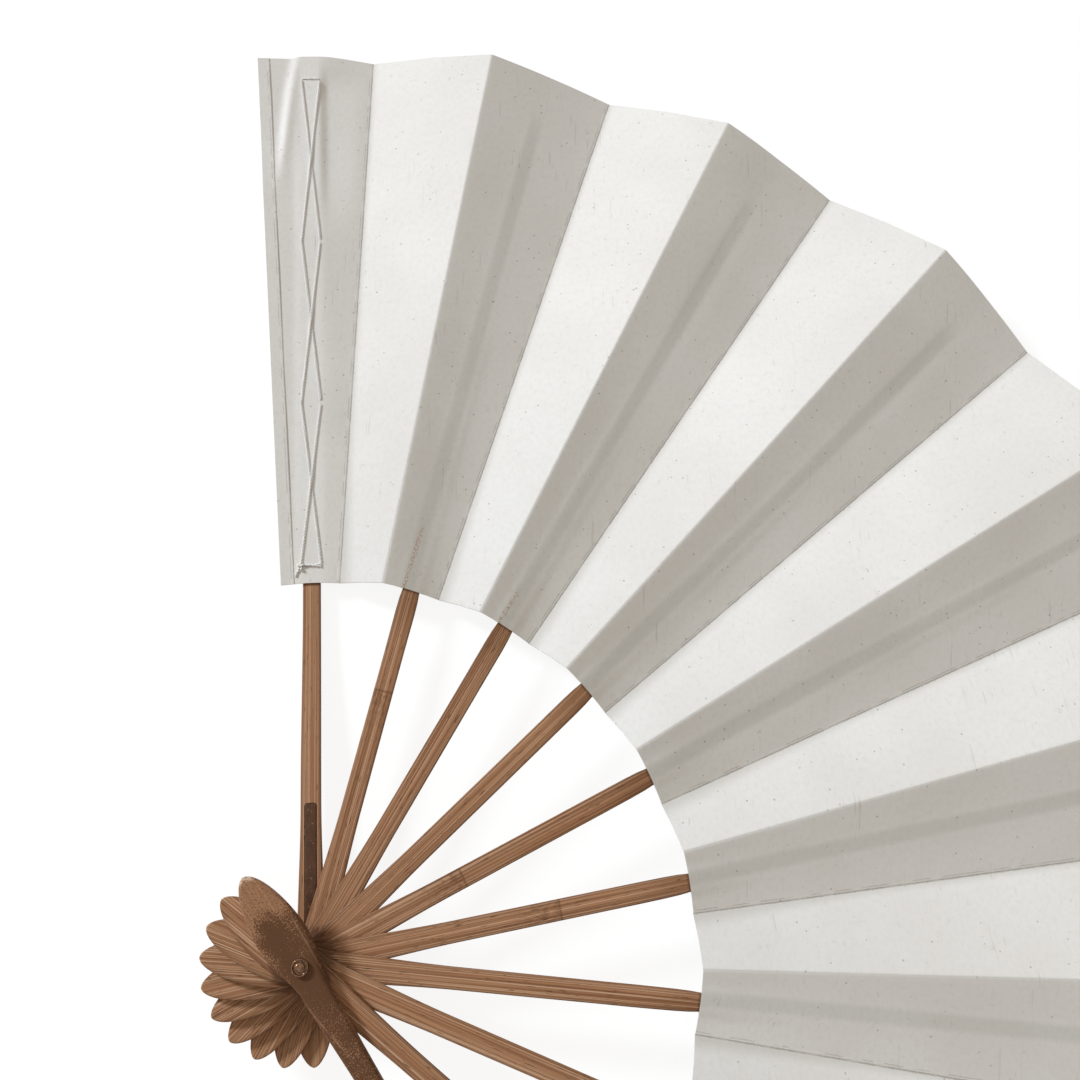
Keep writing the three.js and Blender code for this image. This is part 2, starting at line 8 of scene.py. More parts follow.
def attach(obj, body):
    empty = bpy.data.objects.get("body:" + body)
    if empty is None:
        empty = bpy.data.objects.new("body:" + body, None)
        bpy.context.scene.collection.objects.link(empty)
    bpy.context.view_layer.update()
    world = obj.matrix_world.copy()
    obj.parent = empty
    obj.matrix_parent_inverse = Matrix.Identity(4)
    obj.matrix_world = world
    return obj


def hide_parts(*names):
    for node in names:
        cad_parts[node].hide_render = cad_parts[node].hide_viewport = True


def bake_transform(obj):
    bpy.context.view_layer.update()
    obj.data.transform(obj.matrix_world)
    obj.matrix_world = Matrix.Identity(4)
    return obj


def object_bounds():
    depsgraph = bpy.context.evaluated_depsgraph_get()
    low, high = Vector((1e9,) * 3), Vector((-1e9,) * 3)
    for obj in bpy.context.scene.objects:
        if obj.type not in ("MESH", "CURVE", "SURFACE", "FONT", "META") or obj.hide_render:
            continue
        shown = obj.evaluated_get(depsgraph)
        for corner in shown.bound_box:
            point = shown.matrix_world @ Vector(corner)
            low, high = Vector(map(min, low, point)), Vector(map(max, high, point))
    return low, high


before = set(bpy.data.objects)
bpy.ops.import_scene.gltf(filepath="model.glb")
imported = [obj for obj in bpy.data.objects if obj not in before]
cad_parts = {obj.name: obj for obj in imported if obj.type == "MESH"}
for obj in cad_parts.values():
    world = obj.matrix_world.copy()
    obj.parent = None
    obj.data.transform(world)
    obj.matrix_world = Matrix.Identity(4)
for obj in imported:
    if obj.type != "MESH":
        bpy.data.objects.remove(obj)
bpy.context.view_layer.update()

# A folding dance fan with a plain paper leaf.
# Sizes are in millimetres and angles in radians until a mesh is made; meshes are in metres.
MM = 0.001

# Sizes of the CAD model
RIB_COUNT = 8
STICK_COUNT = RIB_COUNT + 2
PLEAT_ANGLE = math.radians(16.5)
HALF_OPENING = (STICK_COUNT - 1) * PLEAT_ANGLE / 2
RIB_THICKNESS = 1.3
GUARD_THICKNESS = 2.6
STACK_PITCH = 1.6
FIRST_LEVEL = 3.25
FRONT_FACE = 19.6
TAIL_LENGTH, TAIL_HALF_WIDTH, TAIL_WIDEST, TAIL_ROUNDNESS = 24.2, 5.65, 7, 1.8
TAIL_LEAN = math.radians(1.85)
NECK_HALF_WIDTH, NECK_START, NECK_LENGTH, SHAFT_HALF_WIDTH = 3.35, 6, 36, 2.5
TONGUE_THICKNESS, TONGUE_HALF_WIDTH, TONGUE_TIP_HALF_WIDTH = 0.5, 1.9, 1.4
GUARD_LEAF_THICKNESS, GUARD_TIP_THICKNESS = 1.9, 1.4
GUARD_LEAF_HALF_WIDTH, GUARD_TIP_HALF_WIDTH = 2.3, 2.1
LEAF_INNER, LEAF_OUTER = 93.3, 259.0
MOUTH_LENGTH = 5
MOUTH_RADIUS = LEAF_INNER - MOUTH_LENGTH
TONGUE_END = LEAF_OUTER - 14
GUARD_END = LEAF_OUTER - 0.6
CREASE_ANGLE = math.radians(3.93)
CREASE_OFFSET = 1.1
PLEAT_RISE_INNER, PLEAT_RISE_OUTER = 2.5, 4.8
FREE_EDGE_INNER, FREE_EDGE_OUTER = 7.9, 16
HEM_WIDTH = 3.5
PAPER_THICKNESS, LAYER_THICKNESS, POCKET_CLEARANCE = 0.4, 0.3, 0.15
SEAT_GAP = 0.1
THREAD_RADIUS = 0.3
THREAD_PLACE = GUARD_LEAF_HALF_WIDTH + SEAT_GAP + THREAD_RADIUS
BUMP_HALF_WIDTH = THREAD_PLACE + THREAD_RADIUS + 3 * SEAT_GAP
LACING_FIRST, LACING_LAST = LEAF_OUTER - 9, LEAF_INNER + 5
LACING_CROSSINGS, LACING_DROP = 3, 4
KNOT_TAIL = 2.6
WEIGHT_START, WEIGHT_END, WEIGHT_HALF_WIDTH, WEIGHT_DEPTH = 7, 36.4, 1.5, 1.2
WEIGHT_CORNER = 0.8
PIN_RADIUS, PIN_HOLE_RADIUS, PIN_HEAD_RADIUS, PIN_HEAD_HEIGHT = 0.8, 0.95, 1.2, 0.8
WASHER_RADIUS, WASHER_FLOOR, WASHER_RIM_WIDTH, WASHER_RIM_HEIGHT = 2, 0.3, 0.5, 0.75

# Finer forms that only the looks have
SHAFT_START = NECK_LENGTH + 2  # of the rows along a stick's shaft
STICK_ROUNDING = 0.3
GUARD_ROUNDING, GUARD_LEAF_ROUNDING = 1.0, 0.5  # of a guard's outer edges
STICK_CROWN = 0.07
TWIST_START = 76  # where a rib begins to turn into its panel's slope
THIN_LENGTH, THIN_SHARE, THIN_ROUND_SHARE = 10, 0.5, 0.35  # of a rib as it goes into its pocket
WEIGHT_SINK, GROOVE_GAP = 0.04, 0.06  # of a weight in its groove
PAPER_HALF = 0.18  # half of the leaf's thickness
MOUTH_HALF, POCKET_HALF = 0.38, 0.21  # the same over a rib, at the pocket's mouth and farther out
MOUTH_FALL = 25  # length from the one to the other
POCKET_FLAT, POCKET_FALL = 1.3, 3.0  # half width of a pocket's flat top and width of its flank
POCKET_SAG, SAG_LENGTH = 0.27, 12  # how far a panel sinks along its rib, and over which length
WAVE_HEIGHT, WAVE_COUNT = 0.16, 5  # of the paper's slow waves
CREASE_ROUND = 0.5  # how far from a mountain crease the paper bends
BEND_STEPS = np.array([0.7, 0.45, 0.2, 0])  # columns of that bend, as shares of its reach
FOLD_LENGTH, FOLD_DROP, FOLD_RIDGE = 47, 1.1, 0.32  # of the fold on a guard's free side near the top
FOLD_START, FOLD_REACH = 4.5, 10.0
SIDE_DROP = 0.3  # of the paper beside the guard farther down
END_LIFT = 0.9  # how much flatter the two end pleats are
FREE_CURL = 0.09  # slope of the paper's free side
SIDE_BEND = 1.2  # how much more the guard's other side bends down towards its crease
DENT_DEPTH = 0.8  # of the hollow on a guard's other side
DENT_RISE, DENT_FALL = (196, 226), (258, 247)  # radii over which the hollow deepens and ends
HEM_THICKNESS, HEM_GAP = 0.08, 0.02
HEM_TURN, HEM_WAVE = 0.2, 0.04  # how far a hem turns over the edge, and lifts on its other side
THREAD_SINK = 0.35  # how far the lacing is pulled into the paper
PLY_RADIUS, PLY_OFFSET, PLY_PITCH, PLY_SIDES = 0.24, 0.17, 1.8, 6  # of the thread's two plies
STRAND_CORNER, STRAND_STEP = 0.55, 0.24  # bend radius of the lacing's strands, and step along them
CROSSING_REACH, OVER_LIFT, UNDER_SINK = 0.55, 0.22, 0.08  # of the strands where they cross
BAR_LIFT = 0.15  # of one strand's last bar over the other's
KNOT_PLY_SHARE = 0.75  # size of the plies where the knot is pulled tight
KNOT_HALF_WIDTH, KNOT_HALF_LENGTH, KNOT_HALF_HEIGHT, KNOT_LIFT = 0.75, 0.8, 0.28, 0.24
KNOT_CORNER, KNOT_STEP = 0.2, 0.14
WASHER_BEVEL = 0.08
AXIS = 1e-4  # a radius that closes a turned form
HOLE_FACETS, TURNED_FACETS = 48, 64
SHARP_ANGLE, THREAD_SHARP_ANGLE, LINK_SPLIT_ANGLE = (math.radians(a) for a in (35, 60, 40))

# Marks on the bamboo and the paper
KNUCKLES = [140, 66, 110, 118, 41, 61, 104, 77, 52, 84]  # where a bamboo joint shows on each stick
STAIN_REACH = {1: 113, 2: 106}  # ribs that have stained the paper, and up to which radius
GREY_END, DUSK_END = 190, 150  # radii where the link panels' grey and the valleys' wide shade end
FAR = 99.0  # a distance at which a crease no longer shows
STICK_SEED, SIDE_SEED, HEM_SEED = 17.0, 40.0, 9.0  # keep the surfaces' noise apart

# Camera, from the photo's perspective
CAMERA_PLACE = (-18.38, 47.66, 273.25)
CAMERA_TURN = (15.049, -3.492, 70.931)  # degrees
CAMERA_LENS = 34.36
SENSOR = 36
PHOTO_TURN = math.radians(70.29)  # from the photo's upright to the model's axes

# Light and floor, in metres
WORLD_TINT, WORLD_STRENGTH = (1.0, 0.908, 0.78), 0.369
KEY_AZIMUTH, KEY_ELEVATION = math.radians(147), math.radians(24)  # from the photo's right, anticlockwise
KEY_DISTANCE, KEY_SIZE, KEY_POWER, KEY_TINT = 4.0, 0.55, 141, (0.865, 0.922, 1.0)
KEY_TARGET = (0, 0.13, 0)
FLOOR_SIZE, FLOOR_GAP = 6.0, 0.0003
FLOOR_TINT, FLOOR_SHADE, FLOOR_GLOW = (0.8, 0.79, 0.77, 1), (0.2, 0.2, 0.2, 1), 0.88


def smoothstep(value, low, high):
    share = np.clip((np.asarray(value, float) - low) / (high - low), 0, 1)
    return share * share * (3 - 2 * share)


def lerp(a, b, share):
    return a + (b - a) * share


# Shape of the pleats, in the frame of one stick: +Y along the stick, its own plane at z = 0

def along_leaf(radius):
    return (radius - LEAF_INNER) / (LEAF_OUTER - LEAF_INNER)


def pleat_rise(radius):
    return lerp(PLEAT_RISE_INNER, PLEAT_RISE_OUTER, along_leaf(radius))


def crease_offset(radius):
    return radius * math.sin(CREASE_ANGLE) + CREASE_OFFSET * math.cos(CREASE_ANGLE)


def pleat_slope(radius):
    return pleat_rise(radius) / crease_offset(radius)


def free_edge(radius):
    return lerp(FREE_EDGE_INNER, FREE_EDGE_OUTER, along_leaf(radius))


def stick_matrix(number, flipped=False, half_step=False):
    turn = HALF_OPENING - (number + (0.5 if half_step else 0)) * PLEAT_ANGLE
    level = Matrix.Translation((0, 0, FIRST_LEVEL + number * STACK_PITCH))
    matrix = Matrix.Scale(MM, 4) @ level @ Matrix.Rotation(turn, 4, "Z")
    return matrix @ Matrix.Rotation(math.pi, 4, "Y") if flipped else matrix


# Meshes

def attribute(mesh, name, values):
    data = mesh.attributes.new(name, "FLOAT_VECTOR", "POINT")
    data.data.foreach_set("vector", np.asarray(values, np.float32).ravel())


def local_points(mesh):
    points = np.empty(len(mesh.vertices) * 3)
    mesh.vertices.foreach_get("co", points)
    return points.reshape(-1, 3)


def smoothed(mesh, sharp_angle):
    mesh.polygons.foreach_set("use_smooth", [True] * len(mesh.polygons))
    mesh.set_sharp_from_angle(angle=sharp_angle)
    return mesh


def mesh_of(name, points, faces, sharp_angle=SHARP_ANGLE):
    mesh = bpy.data.meshes.new(name)
    mesh.from_pydata([tuple(p) for p in points], [], faces)
    mesh.validate()
    return smoothed(mesh, sharp_angle)


def grid_faces(rows, columns, start=0, flip=False):
    faces = []
    for j in range(rows - 1):
        for i in range(columns - 1):
            a = start + j * columns + i
            face = (a, a + 1, a + columns + 1, a + columns)
            faces.append(face[::-1] if flip else face)
    return faces


def tube_faces(rings, count, start=0):
    """Faces of a tube with closed ends, made of rings of points."""
    faces = []
    last = start + (rings - 1) * count
    for ring in range(start, last, count):
        for i in range(count):
            a, b = ring + i, ring + (i + 1) % count
            faces.append((a, b, b + count, a + count))
    faces.append(tuple(range(start, start + count))[::-1])
    faces.append(tuple(range(last, last + count)))
    return faces


def slab_faces(rows, columns):
    """Faces of a closed slab: a low grid and then a high one, each of rows along +Y."""
    layer = rows * columns
    faces = grid_faces(rows, columns, 0, True) + grid_faces(rows, columns, layer)
    for j in range(rows - 1):
        left, right = j * columns, (j + 1) * columns - 1
        faces.append((left, layer + left, layer + left + columns, left + columns))
        faces.append((right, right + columns, layer + right + columns, layer + right))
    for i in range(columns - 1):
        far = layer - columns + i
        faces.append((i, i + 1, layer + i + 1, layer + i))
        faces.append((far, layer + far, layer + far + 1, far + 1))
    return faces


def slab(name, x, y, low, high):
    points = [np.stack([x, y, level], -1).reshape(-1, 3) for level in (low, high)]
    return mesh_of(name, np.concatenate(points), slab_faces(*x.shape))


def lathe(name, profile, facets):
    """A form turned about Z from a closed profile of (radius, height)."""
    points, faces = [], []
    count = len(profile)
    for i in range(facets):
        turn = 2 * math.pi * i / facets
        points += [(r * math.cos(turn), r * math.sin(turn), z) for r, z in profile]
        a, b = i * count, (i + 1) % facets * count
        for j in range(count):
            n = (j + 1) % count
            faces.append((a + j, b + j, b + n, a + n))
    return mesh_of(name, points, faces)


def added(name, data):
    obj = bpy.data.objects.new(name, data)
    bpy.context.scene.collection.objects.link(obj)
    return obj


def carved(mesh, *tools):
    """The mesh with the tools' meshes cut out of it."""
    blank = added("blank", mesh)
    helpers = [added("tool", tool) for tool in tools]
    for helper in helpers:
        cut = blank.modifiers.new("cut", "BOOLEAN")
        cut.operation, cut.solver, cut.object = "DIFFERENCE", "EXACT", helper
    graph = bpy.context.evaluated_depsgraph_get()
    result = bpy.data.meshes.new_from_object(blank.evaluated_get(graph))
    for o in [blank, *helpers]:
        bpy.data.objects.remove(o)
    result.name = mesh.name
    return smoothed(result, SHARP_ANGLE)


def piece(name, mesh, matrix, material, slot_name, body, *nodes):
    """Puts a mesh in place as a piece that stands for CAD nodes; without a body it is left unattached."""
    mesh.transform(matrix)
    obj = added(name, mesh)
    mesh.materials.clear()
    mesh.materials.append(material)
    if body:
        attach(obj, body)
    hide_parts(*nodes)
    return obj


# Materials

class Shader:
    """A node material; most methods return output sockets."""

    def __init__(self, name):
        self.material = bpy.data.materials.new(name)
        self.material.use_nodes = True
        self.tree = self.material.node_tree
        self.surface = self.tree.nodes["Principled BSDF"]
        self.base = None  # the colour, layer by layer

    def put(self, socket, value):
        if isinstance(value, bpy.types.NodeSocket):
            self.tree.links.new(value, socket)
        else:
            socket.default_value = value

    def node(self, kind, settings=None, **inputs):
        node = self.tree.nodes.new("ShaderNode" + kind)
        for key, value in (settings or {}).items():
            setattr(node, key, value)
        for key, value in inputs.items():
            self.put(node.inputs[key], value)
        return node

    def field(self, name):
        node = self.node("Attribute", {"attribute_name": name})
        parts = self.node("SeparateXYZ", Vector=node.outputs["Vector"])
        return node.outputs["Vector"], parts.outputs

    def math(self, operation, a, b=0.0, kind="Math"):
        node = self.node(kind, {"operation": operation})
        self.put(node.inputs[0], a)
        self.put(node.inputs[1], b)
        return node.outputs[0]

    def product(self, first, *others):
        for other in others:
            first = self.math("MULTIPLY", first, other)
        return first

    def scaled(self, vector, scale):
        return self.math("MULTIPLY", vector, scale, "VectorMath")

    def noise(self, vector, scale, detail=2, roughness=0.5, distortion=0.0):
        node = self.node("TexNoise", Vector=self.scaled(vector, scale), Scale=1.0,
                         Detail=detail, Roughness=roughness, Distortion=distortion)
        return node.outputs["Fac"]

    def span(self, value, low, high, to_low=0.0, to_high=1.0, smooth=True):
        kind = "SMOOTHSTEP" if smooth else "LINEAR"
        node = self.node("MapRange", {"interpolation_type": kind, "clamp": True})
        for index, number in enumerate((value, low, high, to_low, to_high)):
            self.put(node.inputs[index], number)
        return node.outputs[0]

    def band(self, value, start, full, fading, end):
        """1 from full to fading, and 0 before start and after end."""
        return self.product(self.span(value, start, full), self.span(value, fading, end, 1, 0))

    def mix(self, share, a, b, kind="MIX"):
        node = self.node("Mix", {"data_type": "RGBA", "blend_type": kind})
        for index, value in ((0, share), (6, a), (7, b)):
            self.put(node.inputs[index], value)
        return node.outputs[2]

    def paint(self, share, red, green, blue):
        self.base = self.mix(share, self.base, colour(red, green, blue))

    def bump(self, height, strength, distance):
        return self.node("Bump", Height=height, Strength=strength, Distance=distance).outputs[0]

    def finish(self, **inputs):
        self.put(self.surface.inputs["Base Color"], self.base)
        for key, value in inputs.items():
            self.put(self.surface.inputs[key.replace("_", " ")], value)
        return self.material


def colour(red, green, blue):
    """A colour written in the usual 0 to 255 display values."""
    def linear(value):
        share = value / 255
        return share / 12.92 if share <= 0.04045 else ((share + 0.055) / 1.055) ** 2.4
    return (linear(red), linear(green), linear(blue), 1)


def bamboo_material(name, smoked):
    s = Shader(name)
    place, (across, along, _) = s.field("place")  # with a number of its own for each stick
    # Nearness to an edge, distance from the bamboo's joint, and the amount of darkening: smoke stain on the
    # front guard, painted shade round the pivot on the other sticks
    _, (edge, knuckle, stain_and_shade) = s.field("mask")
    streaks = s.noise(place, (1.6, 0.007, 1), 3, 0.6)
    lines = s.noise(place, (4.4, 0.01, 1.7))
    tone = s.noise(place, (0.3, 0.02, 2.3))
    dashes = s.noise(place, (4.2, 0.24, 3.1))
    gleams = s.noise(place, (4.6, 0.008, 4.3), 1, 0.4)
    s.base = s.mix(s.span(streaks, 0.4, 0.6), colour(158, 112, 81), colour(190, 143, 108))
    s.paint(s.span(lines, 0.46, 0.6, 0, 0.7), 128, 88, 61)
    s.paint(s.span(tone, 0.35, 0.7, 0, 0.3), 196, 151, 115)
    s.paint(s.span(gleams, 0.58, 0.62, 0, 0.75), 222, 186, 156)
    s.paint(s.span(dashes, 0.64, 0.7, 0, 0.75), 70, 48, 34)
    s.paint(s.span(edge, 0.6, 1.0, 0, 0.5), 110, 75, 52)
    # The bamboo's joint
    ring = s.band(knuckle, -0.7, 0, 0, 0.5)
    blotch = s.noise(place, (1.6, 0.5, 5), 3, 0.6)
    below = s.product(s.band(knuckle, -16, -1, 0, 0.4), s.span(blotch, 0.42, 0.6))
    marks = s.math("MAXIMUM", s.product(ring, 0.55), s.product(below, 0.5))
    s.paint(marks, 96, 66, 46)
    if smoked:
        grains = s.noise(place, (3.4, 2.6, 6), 3, 0.65)
        mottle = s.noise(place, (1.1, 0.8, 4), 4, 0.7)
        s.paint(s.span(mottle, 0.35, 0.65, 0.4, 0.9), 172, 128, 96)
        s.paint(s.span(grains, 0.54, 0.62, 0, 0.75), 92, 62, 43)
        uneven = s.math("SUBTRACT", s.noise(place, (0.5, 0.3, 4), 3, 0.6), 0.5)
        grainy = s.math("SUBTRACT", grains, 0.5)
        darkening = s.math("ADD", s.math("ADD", stain_and_shade, uneven), s.product(grainy, 2.6))
        s.paint(s.span(darkening, 0.3, 0.6, 0, 0.93), 98, 67, 47)
        for lean, line, start in ((0.055, 3.85, -12), (-0.16, -4.4, 0)):  # two light lines along the bevels: painted highlight, and wear
            off = s.math("SUBTRACT", s.math("ADD", across, s.product(along, lean)), line)
            worn = s.product(
                s.span(s.math("ABSOLUTE", off), 0.06, 0.26, 1, 0),
                s.band(along, start, start + 3, 16, 26),
                s.span(grains, 0.45, 0.54, 0, 0.7),
            )
            s.paint(worn, 176, 136, 106)
        bare = s.product(s.span(stain_and_shade, -0.9, -0.5, 1, 0), s.span(mottle, 0.46, 0.54), 0.8)
        s.paint(bare, 216, 196, 176)
    else:
        # Painted shade round the pivot on the ribs and the rear guard, broken up by noise
        uneven = s.math("SUBTRACT", s.noise(place, (1.4, 0.25, 6), 3, 0.6), 0.5)
        darkening = s.math("ADD", stain_and_shade, s.product(uneven, 1.6))
        s.paint(s.span(darkening, 0.3, 0.75, 0, 0.75), 98, 67, 47)
        # Painted shadow of the paper's edge, a dark line where the stick goes into the leaf
        paper_edge_shadow = s.band(along, LEAF_INNER - 0.9, LEAF_INNER - 0.2, LEAF_INNER + 1, LEAF_INNER + 2)
        s.paint(s.product(paper_edge_shadow, 0.5), 58, 38, 27)
    grain = s.math("ADD", s.product(streaks, 0.6), s.product(lines, 0.4))
    return s.finish(
        Roughness=s.span(lines, 0.3, 0.7, 0.42, 0.58),
        Specular_IOR_Level=0.1,
        Normal=s.bump(grain, 0.35, 0.00012),
    )


def paper_material(name):
    s = Shader(name)
    sheet, _ = s.field("sheet")  # place on the uncut sheet, and which side of it
    # Distances from the creases, below zero from the valley on a link panel
    _, (valley, mountain, _) = s.field("crease")
    # Place on a rib's panel, zero on the others, and how far out the rib has stained the paper
    _, (beside, radius, reach) = s.field("rib")
    cloud = s.noise(sheet, (0.03, 0.03, 1), 3, 0.55)
    pulp = s.noise(sheet, (0.9, 0.6, 2), 4, 0.65)
    s.base = s.mix(s.span(cloud, 0.3, 0.7), colour(240, 238, 234), colour(245, 244, 241))
    s.paint(s.span(pulp, 0.4, 0.75, 0, 0.3), 224, 221, 215)
    # Link panels are greyer towards the pivot and lighter farther out
    flat = s.scaled(sheet, (1, 1, 0))
    outwards = s.node("VectorMath", {"operation": "LENGTH"}, Vector=flat).outputs["Value"]
    radial_tone = s.span(outwards, LEAF_INNER, GREY_END, 0.925, 1.06, False)
    s.base = s.mix(s.span(valley, -0.8, -0.1, 1, 0), s.base, radial_tone, "MULTIPLY")
    # Fibres, faint streaks and specks
    fibre = s.math("ABSOLUTE", s.math("SUBTRACT", s.noise(sheet, (0.32, 0.2, 3), 2, 0.5, 0.8), 0.5))
    short = s.noise(sheet, (0.5, 0.35, 4), 1, 0.5)
    hairs = s.product(s.span(fibre, 0.002, 0.007, 1, 0), s.span(short, 0.55, 0.62))
    s.paint(s.product(hairs, 0.35), 188, 184, 176)
    streak = s.noise(sheet, (1.1, 0.07, 5))
    region = s.noise(sheet, (0.05, 0.02, 6))
    faint = s.product(s.span(streak, 0.64, 0.72), s.span(region, 0.48, 0.62), 0.28)
    s.paint(faint, 170, 168, 160)
    for size, share, depth in ((0.3, 0.87, 0.5), (0.62, 0.91, 0.42)):
        place = s.scaled(sheet, (size, size, size))
        cells = s.node("TexVoronoi", {"feature": "F1"}, Vector=place, Scale=1.0)
        spot = s.span(cells.outputs["Distance"], 0.17 * size, 0.32 * size, 1, 0)
        rare = s.node("SeparateColor", Color=cells.outputs["Color"]).outputs[0]
        specks = s.product(spot, s.span(rare, share, share + 0.01), depth)
        s.paint(specks, 118, 112, 100)
    # Worn lines along the creases, and the shade beside a valley
    frayed = s.noise(sheet, (1.3, 1.3, 7), 4, 0.7)
    patchy = s.noise(sheet, (0.17, 0.17, 9))
    worn = s.math("ADD", valley, s.product(s.math("SUBTRACT", frayed, 0.5), 0.7))
    line = s.span(s.math("ABSOLUTE", worn), 0.12, 0.34, 1, 0)
    line = s.product(line, 0.5, s.span(patchy, 0.36, 0.5, 0.55, 1.0))
    second = s.band(worn, 0.55, 0.7, 0.75, 0.95)
    line = s.math("MAXIMUM", line, s.product(second, s.span(patchy, 0.46, 0.54, 0, 0.34)))
    bared = s.product(second, s.span(patchy, 0.4, 0.48, 0.6, 0))
    s.paint(bared, 255, 254, 250)
    near = s.product(valley, s.span(outwards, LEAF_INNER, DUSK_END, 0.5, 1))
    dusk = s.product(
        s.span(near, -2.2, 0.2),
        s.span(valley, 0.02, 0.2, 1, 0),
        s.span(outwards, LEAF_INNER, DUSK_END, 0.7, 0.4),
    )
    s.paint(dusk, 196, 192, 184)
    ridge = s.product(s.span(mountain, 0.0, 0.3, 1, 0), 0.12)
    s.paint(s.math("MAXIMUM", line, ridge), 142, 136, 124)
    # The rib shows through its pocket, and painted shade along it stands in for the shading where the panel
    # sags over the rib
    show_through_and_shade = s.product(
        s.band(beside, -3.6, -2.0, 0.0, 1.8),
        s.band(radius, 0, LEAF_INNER, TONGUE_END - 9, TONGUE_END + 3),
    )
    s.base = s.mix(show_through_and_shade, s.base, (0.89, 0.895, 0.885, 1), "MULTIPLY")
    # Stain beside the rib
    path = s.math("ADD", beside, s.product(s.math("SUBTRACT", radius, LEAF_INNER), -0.035))
    rust = s.product(
        s.band(path, -2.8, -2.4, -2.0, -1.0),
        s.span(s.noise(sheet, (2.2, 2.2, 8), 3, 0.6), 0.47, 0.57),
        s.span(s.math("SUBTRACT", radius, reach), -5, 0, 1, 0),
        0.7,
    )
    s.paint(rust, 190, 136, 100)
    tooth = s.math("ADD", pulp, s.product(hairs, 0.5))
    return s.finish(
        Roughness=s.span(pulp, 0.3, 0.7, 0.8, 0.92),
        Specular_IOR_Level=0.25,
        Normal=s.bump(tooth, 0.12, 0.0002),
    )


def thread_material():
    s = Shader("cotton_thread")
    place, (_, _, outward) = s.field("place")  # round, along, and 1 on a ply's outer side
    fibres = s.noise(place, (3, 1.5, 1), 3, 0.6)
    s.base = s.mix(s.span(fibres, 0.3, 0.7), colour(243, 241, 236), colour(254, 254, 252))
    # Painted shade on the plies' inner sides, in the grooves where they meet
    s.paint(s.span(outward, -0.3, 0.35, 0.3, 0), 168, 164, 156)
    return s.finish(
        Roughness=s.span(fibres, 0.3, 0.7, 0.75, 0.9),
        Specular_IOR_Level=0.2,
        Sheen_Weight=0.6,
        Subsurface_Weight=0.85,
        Subsurface_Radius=(1, 1, 1),
        Subsurface_Scale=0.0006,
        Normal=s.bump(fibres, 0.3, 0.00008),
    )


def metal_material(name, dark, light, low, high, scale, metallic):
    s = Shader(name)
    place, _ = s.field("place")
    patina = s.noise(place, scale, 4, 0.65)
    scratches = s.noise(place, (9, 1.2, 9))
    specks = s.noise(place, (2.6, 1.7, 2.6))
    s.base = s.mix(s.span(patina, 0.35, 0.68), dark, light)
    s.paint(s.span(specks, 0.66, 0.72, 0, 0.6), 176, 146, 120)
    return s.finish(
        Metallic=metallic,
        Specular_IOR_Level=0.2,
        Roughness=s.span(scratches, 0.3, 0.7, low, high),
        Normal=s.bump(s.math("ADD", patina, scratches), 0.25, 0.00006),
    )


bamboo = bamboo_material("bamboo", False)
smoked_bamboo = bamboo_material("smoked_bamboo", True)
paper = paper_material("pulp_paper")
thread = thread_material()
lead = metal_material("lead", colour(82, 56, 39), colour(100, 69, 49), 0.3, 0.42, (1.2, 0.4, 2), 0.0)
bronze = metal_material(
    "bronze", colour(88, 62, 45), colour(136, 102, 77), 0.13, 0.24, (1.4, 1.4, 1.4), 0.8
)


# Sticks

def stick_half_width(y):
    neck = lerp(NECK_HALF_WIDTH, SHAFT_HALF_WIDTH, smoothstep(y, 0, NECK_LENGTH))
    return neck + lerp(TAIL_HALF_WIDTH - NECK_HALF_WIDTH, 0, smoothstep(y, -TAIL_WIDEST, NECK_START))


def rib_half_width(y):
    mouth = smoothstep(y, MOUTH_RADIUS, LEAF_INNER + MOUTH_LENGTH)
    tongue = lerp(TONGUE_HALF_WIDTH, TONGUE_TIP_HALF_WIDTH, np.maximum(0, along_leaf(y)))
    return lerp(stick_half_width(y), tongue, mouth)


def rib_half_thickness(y):
    return lerp(RIB_THICKNESS, TONGUE_THICKNESS, smoothstep(y, NECK_LENGTH, MOUTH_RADIUS)) / 2


def rib_sag(radius):
    share = crease_offset(radius) / crease_offset(LEAF_OUTER)
    return POCKET_SAG * share * smoothstep(radius, LEAF_INNER, LEAF_INNER + SAG_LENGTH)


def rib_slope(y):
    return pleat_slope(y) * smoothstep(y, TWIST_START, LEAF_INNER)


def tail_centre(y):
    behind = np.maximum(0, -y)
    return behind * math.tan(TAIL_LEAN) * smoothstep(behind, 0, NECK_START)


def edge_distance(x, y, half_width):
    """How far inside a stick's outline a point lies."""
    u = np.abs(x) / TAIL_HALF_WIDTH
    v = np.maximum(1e-6, -TAIL_WIDEST - y) / (TAIL_LENGTH - TAIL_WIDEST)
    ratio = (u**TAIL_ROUNDNESS + v**TAIL_ROUNDNESS) ** (1 / TAIL_ROUNDNESS)
    in_tail = np.hypot(x, y + TAIL_WIDEST) * (1 / ratio - 1)
    return np.where(y < -TAIL_WIDEST, in_tail, half_width - np.abs(x))


